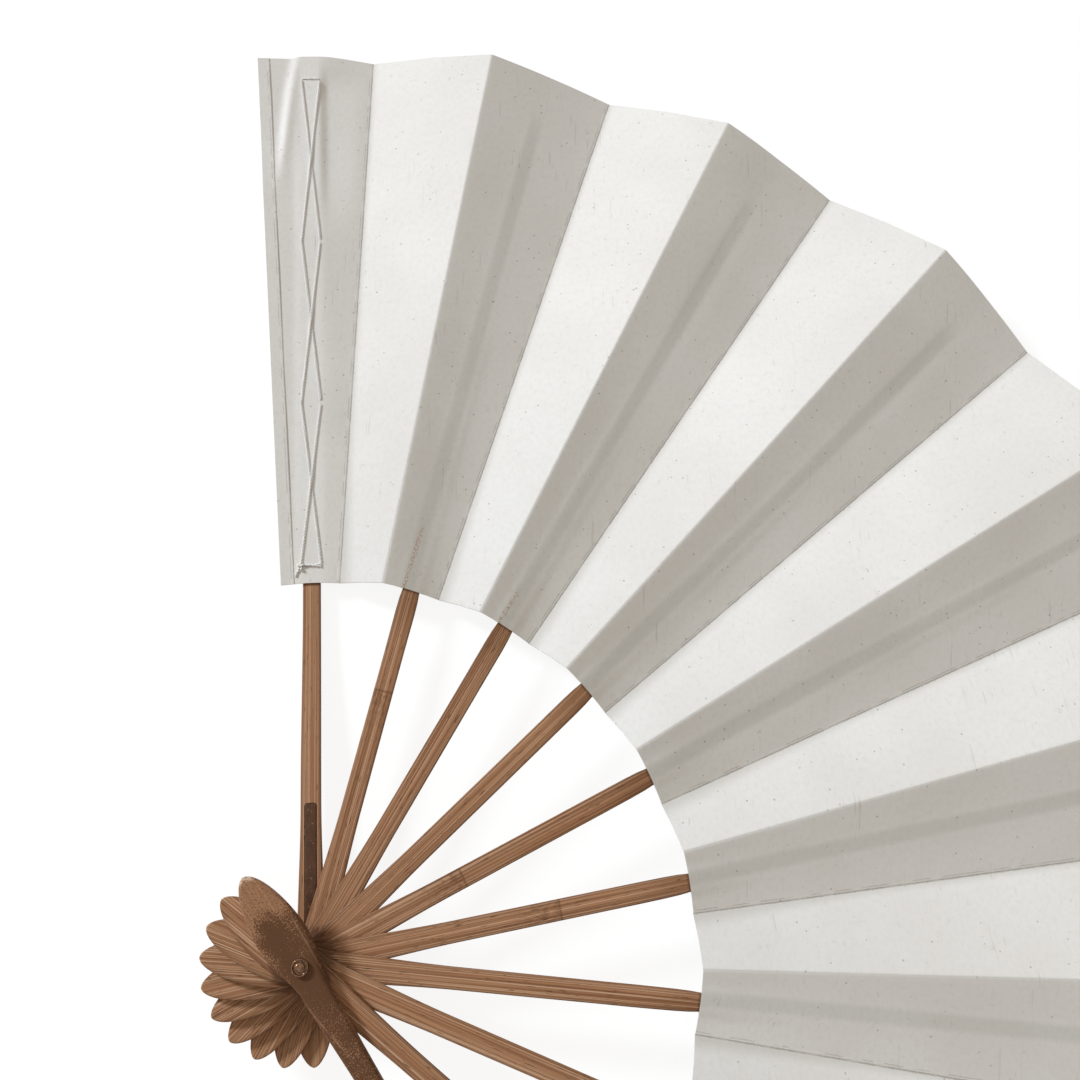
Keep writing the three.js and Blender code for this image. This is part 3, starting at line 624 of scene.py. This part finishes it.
def stick_mesh(name, places, half_width, low, high, slope, low_round, high_round, lean):
    """A stick from its rows along the length, with rounded edges and a faint crown."""
    near = np.array([0, 0.02, 0.08, 0.18, 0.32, 0.55, 1])  # shares of the rounding from an edge
    inner = np.array([0.35, 0.7])  # shares of the half width between the roundings
    rows = []
    for w, r in zip(half_width, np.maximum(low_round, high_round)):
        r = min(r, 0.8 * w)
        left = -w + near * r
        middle = (w - r) * inner
        rows.append(np.concatenate([left, -middle[::-1], [0], middle, -left[::-1]]))
    x = np.array(rows)
    y = np.repeat(places[:, None], x.shape[1], 1)
    inside = edge_distance(x, y, half_width[:, None])

    def drop(rounding):
        r = rounding[:, None]
        return r - np.sqrt(np.maximum(0, r * r - (r - np.clip(inside, 0, r)) ** 2))

    crown = STICK_CROWN * (x / half_width[:, None]) ** 2
    tilt = -slope[:, None] * x
    bottom = low[:, None] + drop(low_round) + crown + tilt
    top = high[:, None] - drop(high_round) - crown + tilt
    return slab(name, x + lean * tail_centre(y), y, bottom, top)


def tail_places():
    """Rows along a tail, closer together at its end, and its half widths there."""
    reach = np.cos(np.radians(np.concatenate([[1.5, 4, 7], np.arange(11, 90, 5)])))
    width = TAIL_HALF_WIDTH * (1 - reach**TAIL_ROUNDNESS) ** (1 / TAIL_ROUNDNESS)
    return -TAIL_WIDEST - reach * (TAIL_LENGTH - TAIL_WIDEST), width


def shaft_places(end, rows):
    return np.concatenate([np.linspace(-TAIL_WIDEST, NECK_LENGTH, 30), np.linspace(SHAFT_START, end, rows)])


def pin_hole(reach):
    """A tool that cuts the pin's hole through a stick."""
    profile = [(AXIS, -reach), (PIN_HOLE_RADIUS, -reach), (PIN_HOLE_RADIUS, reach), (AXIS, reach)]
    return lathe("hole", profile, HOLE_FACETS)


def stick_fields(mesh, half_width, number, stain_and_shade, lean):
    points = local_points(mesh)
    points[:, 0] -= lean * tail_centre(points[:, 1])
    x, y = points[:, 0], points[:, 1]
    attribute(mesh, "place", np.stack([x, y, np.full(len(points), STICK_SEED * number)], 1))
    edge = np.abs(x) / np.maximum(np.interp(y, *half_width), 0.1)
    attribute(mesh, "mask", np.stack([edge, y - KNUCKLES[number], stain_and_shade(points)], 1))


def painted_pivot_shade(points):
    """Painted shade round the pivot, standing in for the shadows the sticks cast on each other there."""
    return 1 - smoothstep(np.hypot(points[:, 0], points[:, 1]), 4, 11)


def add_rib(k):
    name = f"rib_{k}"
    tail_y, tail_w = tail_places()
    shaft_y = shaft_places(TONGUE_END, 60)
    places = np.concatenate([tail_y, shaft_y])
    widths = np.concatenate([tail_w, rib_half_width(shaft_y)])
    thin = smoothstep(places, LEAF_INNER, LEAF_INNER + THIN_LENGTH)
    half = rib_half_thickness(places) * lerp(1, THIN_SHARE, thin)
    level = -rib_sag(places)
    rounding = STICK_ROUNDING * lerp(1, THIN_ROUND_SHARE, thin)
    low, high = level - half, level + half
    mesh = stick_mesh(name, places, widths, low, high, rib_slope(places), rounding, rounding, 1)
    mesh = carved(mesh, pin_hole(2 * RIB_THICKNESS))
    stick_fields(mesh, (places, widths), k, painted_pivot_shade, 1)
    piece(f"{name}_bamboo", mesh, stick_matrix(k), bamboo, "bamboo", name, name)


for k in range(1, RIB_COUNT + 1):
    add_rib(k)


# Guards, in the rear guard's frame: its inner face up

FACE = RIB_THICKNESS / 2
POCKET_OUTSIDE = TONGUE_THICKNESS / 2 + POCKET_CLEARANCE + LAYER_THICKNESS
CLOSED_ROOM = STACK_PITCH - BUMP_HALF_WIDTH * pleat_slope(LEAF_INNER) - POCKET_OUTSIDE - SEAT_GAP
GUARD_LEAF_FACE = CLOSED_ROOM - 2 * THREAD_RADIUS - PAPER_THICKNESS - 2 * SEAT_GAP


def guard_bend(y):
    return smoothstep(y, WEIGHT_END + WEIGHT_HALF_WIDTH, MOUTH_RADIUS)


def guard_inner_face(y):
    return lerp(FACE, GUARD_LEAF_FACE, guard_bend(y))


def guard_outer_face(y):
    in_leaf = lerp(GUARD_LEAF_THICKNESS, GUARD_TIP_THICKNESS, np.maximum(0, along_leaf(y)))
    return guard_inner_face(y) - lerp(GUARD_THICKNESS, in_leaf, guard_bend(y))


def guard_half_width(y):
    in_leaf = lerp(GUARD_LEAF_HALF_WIDTH, GUARD_TIP_HALF_WIDTH, np.maximum(0, along_leaf(y)))
    return lerp(stick_half_width(y), in_leaf, smoothstep(y, NECK_LENGTH, LEAF_INNER))


def weight_form(levels):
    """A closed form from (inset, height) pairs, each an outline of the weight with its round corners."""
    arc = 6  # steps of a corner
    points = []
    side = WEIGHT_HALF_WIDTH - WEIGHT_CORNER
    near, far = WEIGHT_START + WEIGHT_CORNER, WEIGHT_END - WEIGHT_CORNER
    corners = [(side, far), (-side, far), (-side, near), (side, near)]
    for inset, height in levels:
        for i, (x, y) in enumerate(corners):
            for j in range(arc + 1):
                turn = (i + j / arc) * math.pi / 2
                r = WEIGHT_CORNER - inset
                points.append((x + r * math.cos(turn), y + r * math.sin(turn), height))
    return mesh_of("weight", points, tube_faces(len(levels), len(corners) * (arc + 1)))


def front_stain(points):
    """Smoke stain of the front guard, fainter along one side of the tail and gone at its end."""
    y = points[:, 1]
    darkening = smoothstep(y, -19, -9) * (1 - 0.3 * smoothstep(y, 2, 14) - 0.15 * smoothstep(y, 20, 70))
    strip = smoothstep(-points[:, 0], 2.0, 4.6) * (1 - smoothstep(y, -3, 6))
    darkening -= 0.3 * smoothstep(points[:, 0], 0, 2.5) * (1 - smoothstep(y, -2, 4))
    return darkening - 0.5 * strip - smoothstep(-y, TAIL_LENGTH - 3.5, TAIL_LENGTH)


def add_weight(body, end, matrix):
    top = FACE - WEIGHT_SINK
    mesh = weight_form([
        (0.1, FACE - WEIGHT_DEPTH), (0, FACE - 1), (0, top - 0.3), (0.05, top - 0.14),
        (0.16, top - 0.04), (0.34, top), (0.7, top + 0.03),
    ])
    attribute(mesh, "place", local_points(mesh))
    piece(f"weight_{end}_lead", mesh, matrix, lead, "lead", body, f"weight_{end}")


def add_guard(end, number, flipped, material, slot_name, stain_and_shade):
    body = f"guard_{end}"
    lean = -1 if flipped else 1
    matrix = stick_matrix(number, flipped)
    tail_y, tail_w = tail_places()
    shaft_y = shaft_places(GUARD_END - GUARD_TIP_HALF_WIDTH, 70)
    tip_turn = np.radians(np.arange(10, 90, 10))
    tip_y = GUARD_END - GUARD_TIP_HALF_WIDTH * (1 - np.sin(tip_turn))
    places = np.concatenate([tail_y, shaft_y, tip_y])
    widths = np.concatenate([tail_w, guard_half_width(shaft_y), GUARD_TIP_HALF_WIDTH * np.cos(tip_turn)])
    low, high = guard_outer_face(places), guard_inner_face(places)
    low_round = lerp(GUARD_ROUNDING, GUARD_LEAF_ROUNDING, smoothstep(places, NECK_LENGTH, LEAF_INNER))
    high_round = np.full(len(places), STICK_ROUNDING)
    mesh = stick_mesh(body, places, widths, low, high, np.zeros(len(places)), low_round, high_round, lean)
    groove = weight_form([(-GROOVE_GAP, FACE - WEIGHT_DEPTH - SEAT_GAP), (-GROOVE_GAP, FACE + 1)])
    mesh = carved(mesh, pin_hole(2 * GUARD_THICKNESS), groove)
    stick_fields(mesh, (places, widths), number, stain_and_shade, lean)
    piece(f"{body}_bamboo", mesh, matrix, material, slot_name, body, body)
    add_weight(body, end, matrix)


add_guard("rear", 0, False, bamboo, "bamboo", painted_pivot_shade)
add_guard("front", STICK_COUNT - 1, True, smoked_bamboo, "bamboo_dark", front_stain)


# Leaf

ENDS = (("rear", 0, False), ("front", STICK_COUNT - 1, True))  # name, number, and whether flipped


def waves(x, y, seed):
    """Slow unevenness of the paper, from a few sine waves."""
    rng = np.random.default_rng(seed)
    total = np.zeros_like(x)
    for _ in range(WAVE_COUNT):
        fx, fy = rng.uniform(0.05, 0.16), rng.uniform(0.02, 0.06)
        total += np.sin(fx * x + fy * y + rng.uniform(0, 2 * math.pi)) / WAVE_COUNT
    return WAVE_HEIGHT * total


def both_faces(values):
    """Values for a slab's two layers of points, from those of one."""
    return np.tile(values.ravel(), 2)


def side_seeds(count):
    """Keeps the noise on the leaf's back and front apart."""
    return np.concatenate([np.full(count, SIDE_SEED), np.zeros(count)])


def sheet_fields(mesh, matrix, valley, mountain, side):
    """Distances from the creases, and the place on the uncut sheet."""
    attribute(mesh, "crease", np.stack([valley, mountain, np.zeros(len(valley))], 1))
    points = np.array([matrix @ Vector(p) for p in local_points(mesh)]) / MM
    c, s = math.cos(-PHOTO_TURN), math.sin(-PHOTO_TURN)
    across = points[:, 0] * c - points[:, 1] * s
    along = points[:, 0] * s + points[:, 1] * c
    attribute(mesh, "sheet", np.stack([across, along, side], 1))


def crease_drop(distance, radius):
    """How far the paper's round bend lies under a mountain's sharp crease."""
    link_slope = (STACK_PITCH + 2 * pleat_rise(radius)) / (radius * PLEAT_ANGLE - 2 * crease_offset(radius))
    turn = (link_slope + pleat_slope(radius)) / 2
    return turn * np.maximum(0, CREASE_ROUND - distance) ** 2 / (2 * CREASE_ROUND)


def leaf_radii(count):
    return np.linspace(LEAF_INNER, LEAF_OUTER, count)


def arc_place(x, radius):
    """Y of a point on one of the leaf's arcs."""
    return np.sqrt(np.hypot(radius, CREASE_OFFSET) ** 2 - x**2)


def rib_panel(k):
    """The panel over rib k, with the rib's pocket."""
    tip = TONGUE_END - 4
    radius = np.concatenate([np.linspace(LEAF_INNER, tip, 46)[:-1], np.linspace(tip, LEAF_OUTER, 16)])
    radius = radius[:, None]
    fine = np.array([0, 0.5, 1.0, 1.6, 2.2, 2.8, 3.4, 4.0])  # columns over the rib
    columns = []
    for r in radius[:, 0]:
        edge = crease_offset(r)
        outer = np.linspace(fine[-1], edge - CREASE_ROUND, 7)[1:]
        half = np.concatenate([fine, outer, edge - CREASE_ROUND * BEND_STEPS])
        columns.append(np.concatenate([-half[::-1], half[1:]]))
    x = np.array(columns)
    y = arc_place(x, radius)
    edge = crease_offset(radius)
    held = 1 - smoothstep(radius, TONGUE_END - 2, TONGUE_END + 3)
    bulge = (1 - smoothstep(np.abs(x), POCKET_FLAT, POCKET_FLAT + POCKET_FALL)) * held
    calm = 1 - np.clip(np.abs(x) / edge, 0, 1) ** 3
    soft = 1.5  # rounds the sagging paper over the rib
    tent = 1 - (np.hypot(x, soft) - soft) / (np.hypot(edge, soft) - soft)
    middle = -pleat_slope(radius) * x - rib_sag(radius) * tent + waves(x, y, 100 + k) * calm * (1 - bulge)
    middle = middle - crease_drop(edge + x, radius)
    raised = lerp(MOUTH_HALF, POCKET_HALF, smoothstep(radius, LEAF_INNER, LEAF_INNER + MOUTH_FALL))
    half = lerp(PAPER_HALF, raised, bulge)
    name = f"leaf_rib_{k}"
    mesh = slab(name, x, y, middle - half, middle + half)
    matrix = stick_matrix(k)
    sheet_fields(mesh, matrix, both_faces(edge - x), both_faces(edge + x), side_seeds(x.size))
    stained = np.full(2 * x.size, STAIN_REACH.get(k, 0))
    attribute(mesh, "rib", np.stack([both_faces(x), both_faces(y), stained], 1))
    piece(f"{name}_paper", mesh, matrix, paper, "paper", f"rib_{k}", name)


def link_lifts(k):
    """How far a link panel's lower crease is raised and its upper one lowered."""
    return END_LIFT * (k == 0), END_LIFT * (k == STICK_COUNT - 2)


def link_panel(k):
    """The panel from stick k's valley up to the next stick's mountain."""
    radius = leaf_radii(40)[:, None]
    reach = np.hypot(radius, CREASE_OFFSET)
    valley = np.arcsin(crease_offset(radius) / reach)
    width = reach * (PLEAT_ANGLE - 2 * valley)
    bend = 1 - CREASE_ROUND * np.array([1, *BEND_STEPS]) / width
    share = np.concatenate([0 * radius, 0 * radius + 0.5, bend], 1)
    angle = lerp(valley, PLEAT_ANGLE - valley, share)
    x, y = reach * np.sin(angle), reach * np.cos(angle)
    low, high = link_lifts(k)
    z = lerp(low - pleat_rise(radius), STACK_PITCH + pleat_rise(radius) - high, share)
    if not high:
        z = z - crease_drop(width * (1 - share), radius)
    points = np.stack([x, y, z], -1).reshape(-1, 3)
    name = f"leaf_link_{k + 1}"
    mesh = mesh_of(name, points, grid_faces(*x.shape))
    matrix = stick_matrix(k)
    count = x.size
    sheet_fields(mesh, matrix, (-width * share).ravel(), (width * (1 - share)).ravel(), np.zeros(count))
    obj = piece(f"{name}_paper", mesh, matrix, paper, "paper", None, name)
    thick = obj.modifiers.new("thickness", "SOLIDIFY")
    thick.thickness, thick.offset = 2 * PAPER_HALF * MM, 0
    crisp = obj.modifiers.new("edges", "EDGE_SPLIT")
    crisp.split_angle = LINK_SPLIT_ANGLE
    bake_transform(obj)


def guard_panel_height(x, radius):
    """The paper over a guard: it drops beside the stick, most near the top, and its free side curls up."""
    top = GUARD_LEAF_FACE + SEAT_GAP + PAPER_THICKNESS / 2
    b = BUMP_HALF_WIDTH
    fold = np.clip((LEAF_OUTER - radius) / FOLD_LENGTH, 0, 1)
    fading = smoothstep(fold, 0.55, 1)
    middle = lerp(FOLD_START, FOLD_REACH, fold**0.6)
    half = lerp(1.5, 0.9, fold)
    drop = FOLD_DROP * (1 - fading) * smoothstep(-x, middle - half, middle + half)
    ridge = FOLD_RIDGE * (1 - fading) * smoothstep(fold, 0.05, 0.35)
    drop = drop - ridge * np.exp(-(((x + middle - 1.3) / 1.3) ** 2))
    drop = drop + SIDE_DROP * fading * smoothstep(-x, b - 0.6, b + 2)
    free_side = top - drop + FREE_CURL * np.maximum(0, -x - b)
    share = np.maximum(0, x - b) / (crease_offset(radius) - b)
    dent = DENT_DEPTH * smoothstep(radius, *DENT_RISE) * smoothstep(radius, *DENT_FALL)
    dip = smoothstep(x, b - 1.1, b + 1.9) * smoothstep(x, crease_offset(radius) - 0.5, b + 1.9)
    other_side = lerp(top, END_LIFT - pleat_rise(radius), share**SIDE_BEND) - dent * dip
    return np.where(x < 0, free_side, other_side)


def guard_panel_middle(x, radius, number):
    """The same with softened kinks and the paper's waves."""
    left, right = free_edge(radius), crease_offset(radius)
    inside = np.maximum(0, np.minimum(x + left, right - x))
    blur = np.linspace(-0.7, 0.7, 9)
    middle = np.mean([guard_panel_height(x + np.clip(d, -inside, inside), radius) for d in blur], 0)
    calm = smoothstep(right - x, 0, 4) * smoothstep(np.abs(x), BUMP_HALF_WIDTH, BUMP_HALF_WIDTH + 3)
    return middle + 1.3 * waves(x * 1.6, radius * 1.2, 300 + number) * calm


def guard_panel(end, number, flipped):
    """The end panel of the leaf over a guard."""
    radius = leaf_radii(64)[:, None]
    left, right = free_edge(radius), crease_offset(radius)
    near = np.array([0, 1.4, 2.2, 2.7, 3.1, 3.5, 3.9, 4.4, 5, 5.7, 6.4])  # columns over the guard
    beside = np.concatenate([-near[:0:-1], near])
    rows = []
    for l, r in zip(left[:, 0], right[:, 0]):
        outer, inner = np.linspace(-l, -near[-1], 12)[:-1], np.linspace(near[-1], r, 8)[1:]
        rows.append(np.concatenate([outer, beside, inner]))
    x = np.array(rows)
    middle = guard_panel_middle(x, radius + 0 * x, number)
    name = f"leaf_guard_{end}"
    mesh = slab(name, x, arc_place(x, radius), middle - PAPER_HALF, middle + PAPER_HALF)
    matrix = stick_matrix(number, flipped)
    sheet_fields(mesh, matrix, both_faces(right - x), np.full(2 * x.size, FAR), side_seeds(x.size))
    piece(f"{name}_paper", mesh, matrix, paper, "paper", f"guard_{end}", name)


def hem(end, number, flipped):
    """The folded strip along the leaf's free edge."""
    radius = leaf_radii(64)[:, None]
    share = np.array([-0.04, 0, 0.1, 0.3, 0.6, 0.9, 1])[None, :]  # columns, from outside the edge
    x = -free_edge(radius) + HEM_WIDTH * share
    y = arc_place(x, radius)
    low = guard_panel_middle(x, radius + 0 * x, number) + PAPER_HALF + HEM_GAP
    low = low - HEM_TURN * (share < 0)
    lift = HEM_WAVE * np.sin(y * 0.11) * share
    name = f"leaf_hem_{end}"
    mesh = slab(name, x, y, low, low + HEM_THICKNESS + lift)
    matrix = stick_matrix(number, flipped)
    edge = both_faces(HEM_WIDTH * (1 - share) + 0 * x)
    sheet_fields(mesh, matrix, edge, np.full(edge.size, FAR), np.full(edge.size, HEM_SEED))
    piece(f"{name}_paper", mesh, matrix, paper, "paper", f"guard_{end}", name)


for k in range(1, RIB_COUNT + 1):
    rib_panel(k)
for k in range(STICK_COUNT - 1):
    link_panel(k)
for side_of_leaf in ENDS:
    guard_panel(*side_of_leaf)
    hem(*side_of_leaf)


# Lacing of two-ply thread

LACING_FRONT = GUARD_LEAF_FACE + SEAT_GAP + PAPER_THICKNESS + THREAD_RADIUS - THREAD_SINK


def lacing_levels():
    steps = np.linspace(LACING_FIRST, LACING_LAST, LACING_CROSSINGS + 1)
    steps[1:-1] -= LACING_DROP
    return steps


def lacing_route(side):
    levels = lacing_levels()
    top = levels[0] + 3 * THREAD_RADIUS
    route = [(-THREAD_RADIUS, top, LACING_FRONT), (THREAD_PLACE, top, LACING_FRONT)]
    for i, level in enumerate(levels[:-1]):
        y = level + side * 1.5 * THREAD_RADIUS if i else level + (1 + side) * THREAD_RADIUS
        back = float(guard_outer_face(y)) - THREAD_RADIUS
        if i:
            route.append((THREAD_PLACE, y, LACING_FRONT))
        route += [(THREAD_PLACE, y, back), (-THREAD_PLACE, y, back), (-THREAD_PLACE, y, LACING_FRONT)]
    route.append((THREAD_PLACE, levels[-1], LACING_FRONT))
    route.append((-THREAD_PLACE, levels[-1] - 2 * THREAD_RADIUS, LACING_FRONT))
    return [Vector((side * x, y, z)) for x, y, z in route]


def lengths_along(points):
    return np.concatenate([[0], np.cumsum(np.linalg.norm(np.diff(points, axis=0), axis=1))])


def rounded_path(route, radius, step):
    """Points at even steps along straight runs with rounded corners."""
    points = [route[0]]
    for before, corner, after in zip(route, route[1:], route[2:]):
        a = min(radius, (before - corner).length / 2.2)
        b = min(radius, (after - corner).length / 2.2)
        start = corner + (before - corner).normalized() * a
        end = corner + (after - corner).normalized() * b
        points += [start.lerp(corner, t).lerp(corner.lerp(end, t), t) for t in (0, 0.25, 0.5, 0.75, 1)]
    points.append(route[-1])
    p = np.array(points)
    length = lengths_along(p)
    even = np.linspace(0, length[-1], max(8, int(length[-1] / step)))
    return np.stack([np.interp(even, length, p[:, i]) for i in range(3)], 1)


def twisted(path, size):
    """Two plies that wind round each other along a path: points, faces and the thread's own fields."""
    runs = np.gradient(path, axis=0)
    runs /= np.linalg.norm(runs, axis=1)[:, None]
    side = np.cross(runs[0], (0.3, 0.6, 0.7))
    frames = []
    for run in runs:
        side = side - run * np.dot(side, run)
        side = side / np.linalg.norm(side)
        frames.append((side, np.cross(run, side)))
    around = 2 * math.pi * np.arange(PLY_SIDES) / PLY_SIDES
    points, faces, fields = [], [], []
    for ply in range(2):
        first = len(points)
        for centre, (u, v), s in zip(path, frames, lengths_along(path)):
            turn = 2 * math.pi * s / PLY_PITCH + ply * math.pi
            axis = centre + size * PLY_OFFSET * (u * math.cos(turn) + v * math.sin(turn))
            for a in around:
                points.append(axis + size * PLY_RADIUS * (u * math.cos(a) + v * math.sin(a)))
                fields.append((a, s, math.cos(a - turn)))
        faces += tube_faces(len(path), PLY_SIDES, first)
    return points, faces, fields


def knot_path():
    """A flat trefoil loop at the end of one strand, and the thread's tail."""
    centre = np.array([-THREAD_PLACE, lacing_levels()[-1] - 2 * THREAD_RADIUS, LACING_FRONT + KNOT_LIFT])
    turn = np.linspace(0.4, 2 * math.pi * 0.95, 36)
    loop = np.stack([
        KNOT_HALF_WIDTH * (np.sin(turn) + 0.9 * np.sin(2 * turn)) / 1.5,
        KNOT_HALF_LENGTH * (np.cos(turn) - 0.9 * np.cos(2 * turn)) / 1.5,
        -KNOT_HALF_HEIGHT * np.sin(3 * turn),
    ], 1)
    tail = np.array([[-0.6, -0.8, -0.05], [-1.1, -1.6, -0.12], [-1.4, -KNOT_TAIL, -0.12]])
    route = np.concatenate([loop, tail]) + centre
    return rounded_path([Vector(p) for p in route], KNOT_CORNER, KNOT_STEP)


def strand_path(side):
    """One strand of the lacing; the one on the side -1 passes over the other."""
    path = rounded_path(lacing_route(side), STRAND_CORNER, STRAND_STEP)
    slant = np.abs(np.gradient(path[:, 0])) < 0.5 * np.abs(np.gradient(path[:, 1]))
    crossing = np.exp(-((path[:, 0] / CROSSING_REACH) ** 2)) * slant
    path[:, 2] += crossing * (OVER_LIFT if side < 0 else -UNDER_SINK)
    if side < 0:
        path[:, 2] += BAR_LIFT * smoothstep(path[:, 1], LACING_LAST + 2, LACING_LAST)
    return path


def add_lacing(end, number, flipped):
    points, faces, fields = [], [], []
    for path, size in ((strand_path(-1), 1), (strand_path(1), 1), (knot_path(), KNOT_PLY_SHARE)):
        p, f, a = twisted(path, size)
        faces += [tuple(i + len(points) for i in face) for face in f]
        points += p
        fields += a
    name = f"lacing_{end}"
    mesh = mesh_of(name, points, faces, THREAD_SHARP_ANGLE)
    attribute(mesh, "place", fields)
    piece(f"{name}_thread", mesh, stick_matrix(number, flipped), thread, "thread", f"guard_{end}", name)


for side_of_leaf in ENDS:
    add_lacing(*side_of_leaf)


# Pivot

def arc_points(centre, radius, start, end, count):
    turns = np.radians(np.linspace(start, end, count))
    return [(centre[0] + radius * math.cos(t), centre[1] + radius * math.sin(t)) for t in turns]


def washer_profile():
    half = WASHER_RIM_WIDTH / 2
    crown = (WASHER_RADIUS - half, WASHER_RIM_HEIGHT - half)
    inner = WASHER_RADIUS - WASHER_RIM_WIDTH
    bevel = WASHER_BEVEL
    return [
        (PIN_HOLE_RADIUS, 0), (WASHER_RADIUS - bevel, 0), (WASHER_RADIUS, bevel),
        *arc_points(crown, half, 0, 180, 11),
        (inner, WASHER_FLOOR + bevel), (inner - bevel, WASHER_FLOOR), (PIN_HOLE_RADIUS, WASHER_FLOOR),
    ]


def pin_profile():
    rear, front = PIN_HEAD_HEIGHT, FRONT_FACE + WASHER_FLOOR + 2 * SEAT_GAP
    soft = 0.2  # rounding of the heads' edges
    height = PIN_HEAD_HEIGHT - soft
    turns = np.radians(np.linspace(0, 88, 14))
    dome = [(PIN_HEAD_RADIUS * math.cos(t), front + soft + height * math.sin(t)) for t in turns]
    return [
        (AXIS, 0), *arc_points((PIN_HEAD_RADIUS - soft, soft), soft, -90, 0, 6),
        (PIN_HEAD_RADIUS, rear), (PIN_RADIUS, rear), (PIN_RADIUS, front), (PIN_HEAD_RADIUS, front),
        *dome, (AXIS, front + PIN_HEAD_HEIGHT),
    ]


def add_turned(name, profile, matrix):
    mesh = lathe(name, profile, TURNED_FACETS)
    attribute(mesh, "place", local_points(mesh))
    piece(f"{name}_bronze", mesh, matrix, bronze, "bronze", "guard_rear", name)


def add_pivot():
    metres = Matrix.Scale(MM, 4)
    front = Matrix.Translation((0, 0, FRONT_FACE + SEAT_GAP))
    rear = Matrix.Translation((0, 0, PIN_HEAD_HEIGHT + WASHER_FLOOR + SEAT_GAP))
    turned_over = Matrix.Rotation(math.pi, 4, "X")
    add_turned("pivot_pin", pin_profile(), metres)
    add_turned("pivot_washer_front", washer_profile(), metres @ front)
    add_turned("pivot_washer_rear", washer_profile(), metres @ rear @ turned_over)


add_pivot()


# Stage: floor, light and camera

def joined(tree, kind, *sockets):
    """A node whose first inputs come from the sockets."""
    node = tree.nodes.new("ShaderNode" + kind)
    for socket, place in zip(sockets, node.inputs):
        tree.links.new(socket, place)
    return node


def seen_directly(tree):
    """1 for rays from the camera, also by way of a mirror or glass."""
    path = joined(tree, "LightPath")
    share = path.outputs["Is Camera Ray"]
    for ray in ("Is Glossy Ray", "Is Transmission Ray"):
        node = joined(tree, "Math", share, path.outputs[ray])
        node.operation = "MAXIMUM"
        share = node.outputs[0]
    return share


def floor_material():
    material = bpy.data.materials.new("floor")
    material.use_nodes = True
    tree = material.node_tree
    tree.nodes.clear()
    matt = joined(tree, "BsdfDiffuse")
    matt.inputs["Color"].default_value = FLOOR_TINT
    shade = joined(tree, "BsdfDiffuse")
    shade.inputs["Color"].default_value = FLOOR_SHADE
    glow = joined(tree, "Emission")
    glow.inputs["Strength"].default_value = FLOOR_GLOW
    both = joined(tree, "AddShader", shade.outputs[0], glow.outputs[0])
    mix = joined(tree, "MixShader", seen_directly(tree), matt.outputs[0], both.outputs[0])
    joined(tree, "OutputMaterial", mix.outputs[0])
    return material


def add_floor():
    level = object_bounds()[0].z - FLOOR_GAP
    half = FLOOR_SIZE / 2
    mesh = bpy.data.meshes.new("floor")
    corners = [(-half, -half, level), (half, -half, level), (half, half, level), (-half, half, level)]
    mesh.from_pydata(corners, [], [(0, 1, 2, 3)])
    mesh.materials.append(floor_material())
    floor = added("floor", mesh)


def add_world():
    world = bpy.data.worlds.new("studio")
    bpy.context.scene.world = world
    world.use_nodes = True
    tree = world.node_tree
    background = tree.nodes["Background"]
    background.inputs["Color"].default_value = (*WORLD_TINT, 1)
    background.inputs["Strength"].default_value = WORLD_STRENGTH
    white = joined(tree, "Background")
    white.inputs["Color"].default_value = (1, 1, 1, 1)
    mix = joined(tree, "MixShader", seen_directly(tree), background.outputs[0], white.outputs[0])
    tree.links.new(mix.outputs[0], tree.nodes["World Output"].inputs["Surface"])


def add_key_lamp():
    """A square soft box."""
    data = bpy.data.lights.new("key", "AREA")
    data.shape, data.size, data.energy, data.color = "SQUARE", KEY_SIZE, KEY_POWER, KEY_TINT
    lamp = added("key", data)
    turn, rise = KEY_AZIMUTH + PHOTO_TURN, KEY_ELEVATION
    back = Vector((math.cos(turn) * math.cos(rise), math.sin(turn) * math.cos(rise), math.sin(rise)))
    lamp.location = Vector(KEY_TARGET) + KEY_DISTANCE * back
    lamp.rotation_euler = (-back).to_track_quat("-Z", "Y").to_euler()


def add_camera():
    data = bpy.data.cameras.new("camera")
    data.lens, data.sensor_width, data.clip_start = CAMERA_LENS, SENSOR, 0.01
    camera = added("camera", data)
    camera.location = Vector(CAMERA_PLACE) * MM
    camera.rotation_euler = [math.radians(a) for a in CAMERA_TURN]
    bpy.context.scene.camera = camera


add_floor()
add_world()
add_key_lamp()
add_camera()
bpy.context.scene.view_settings.view_transform = "Standard"
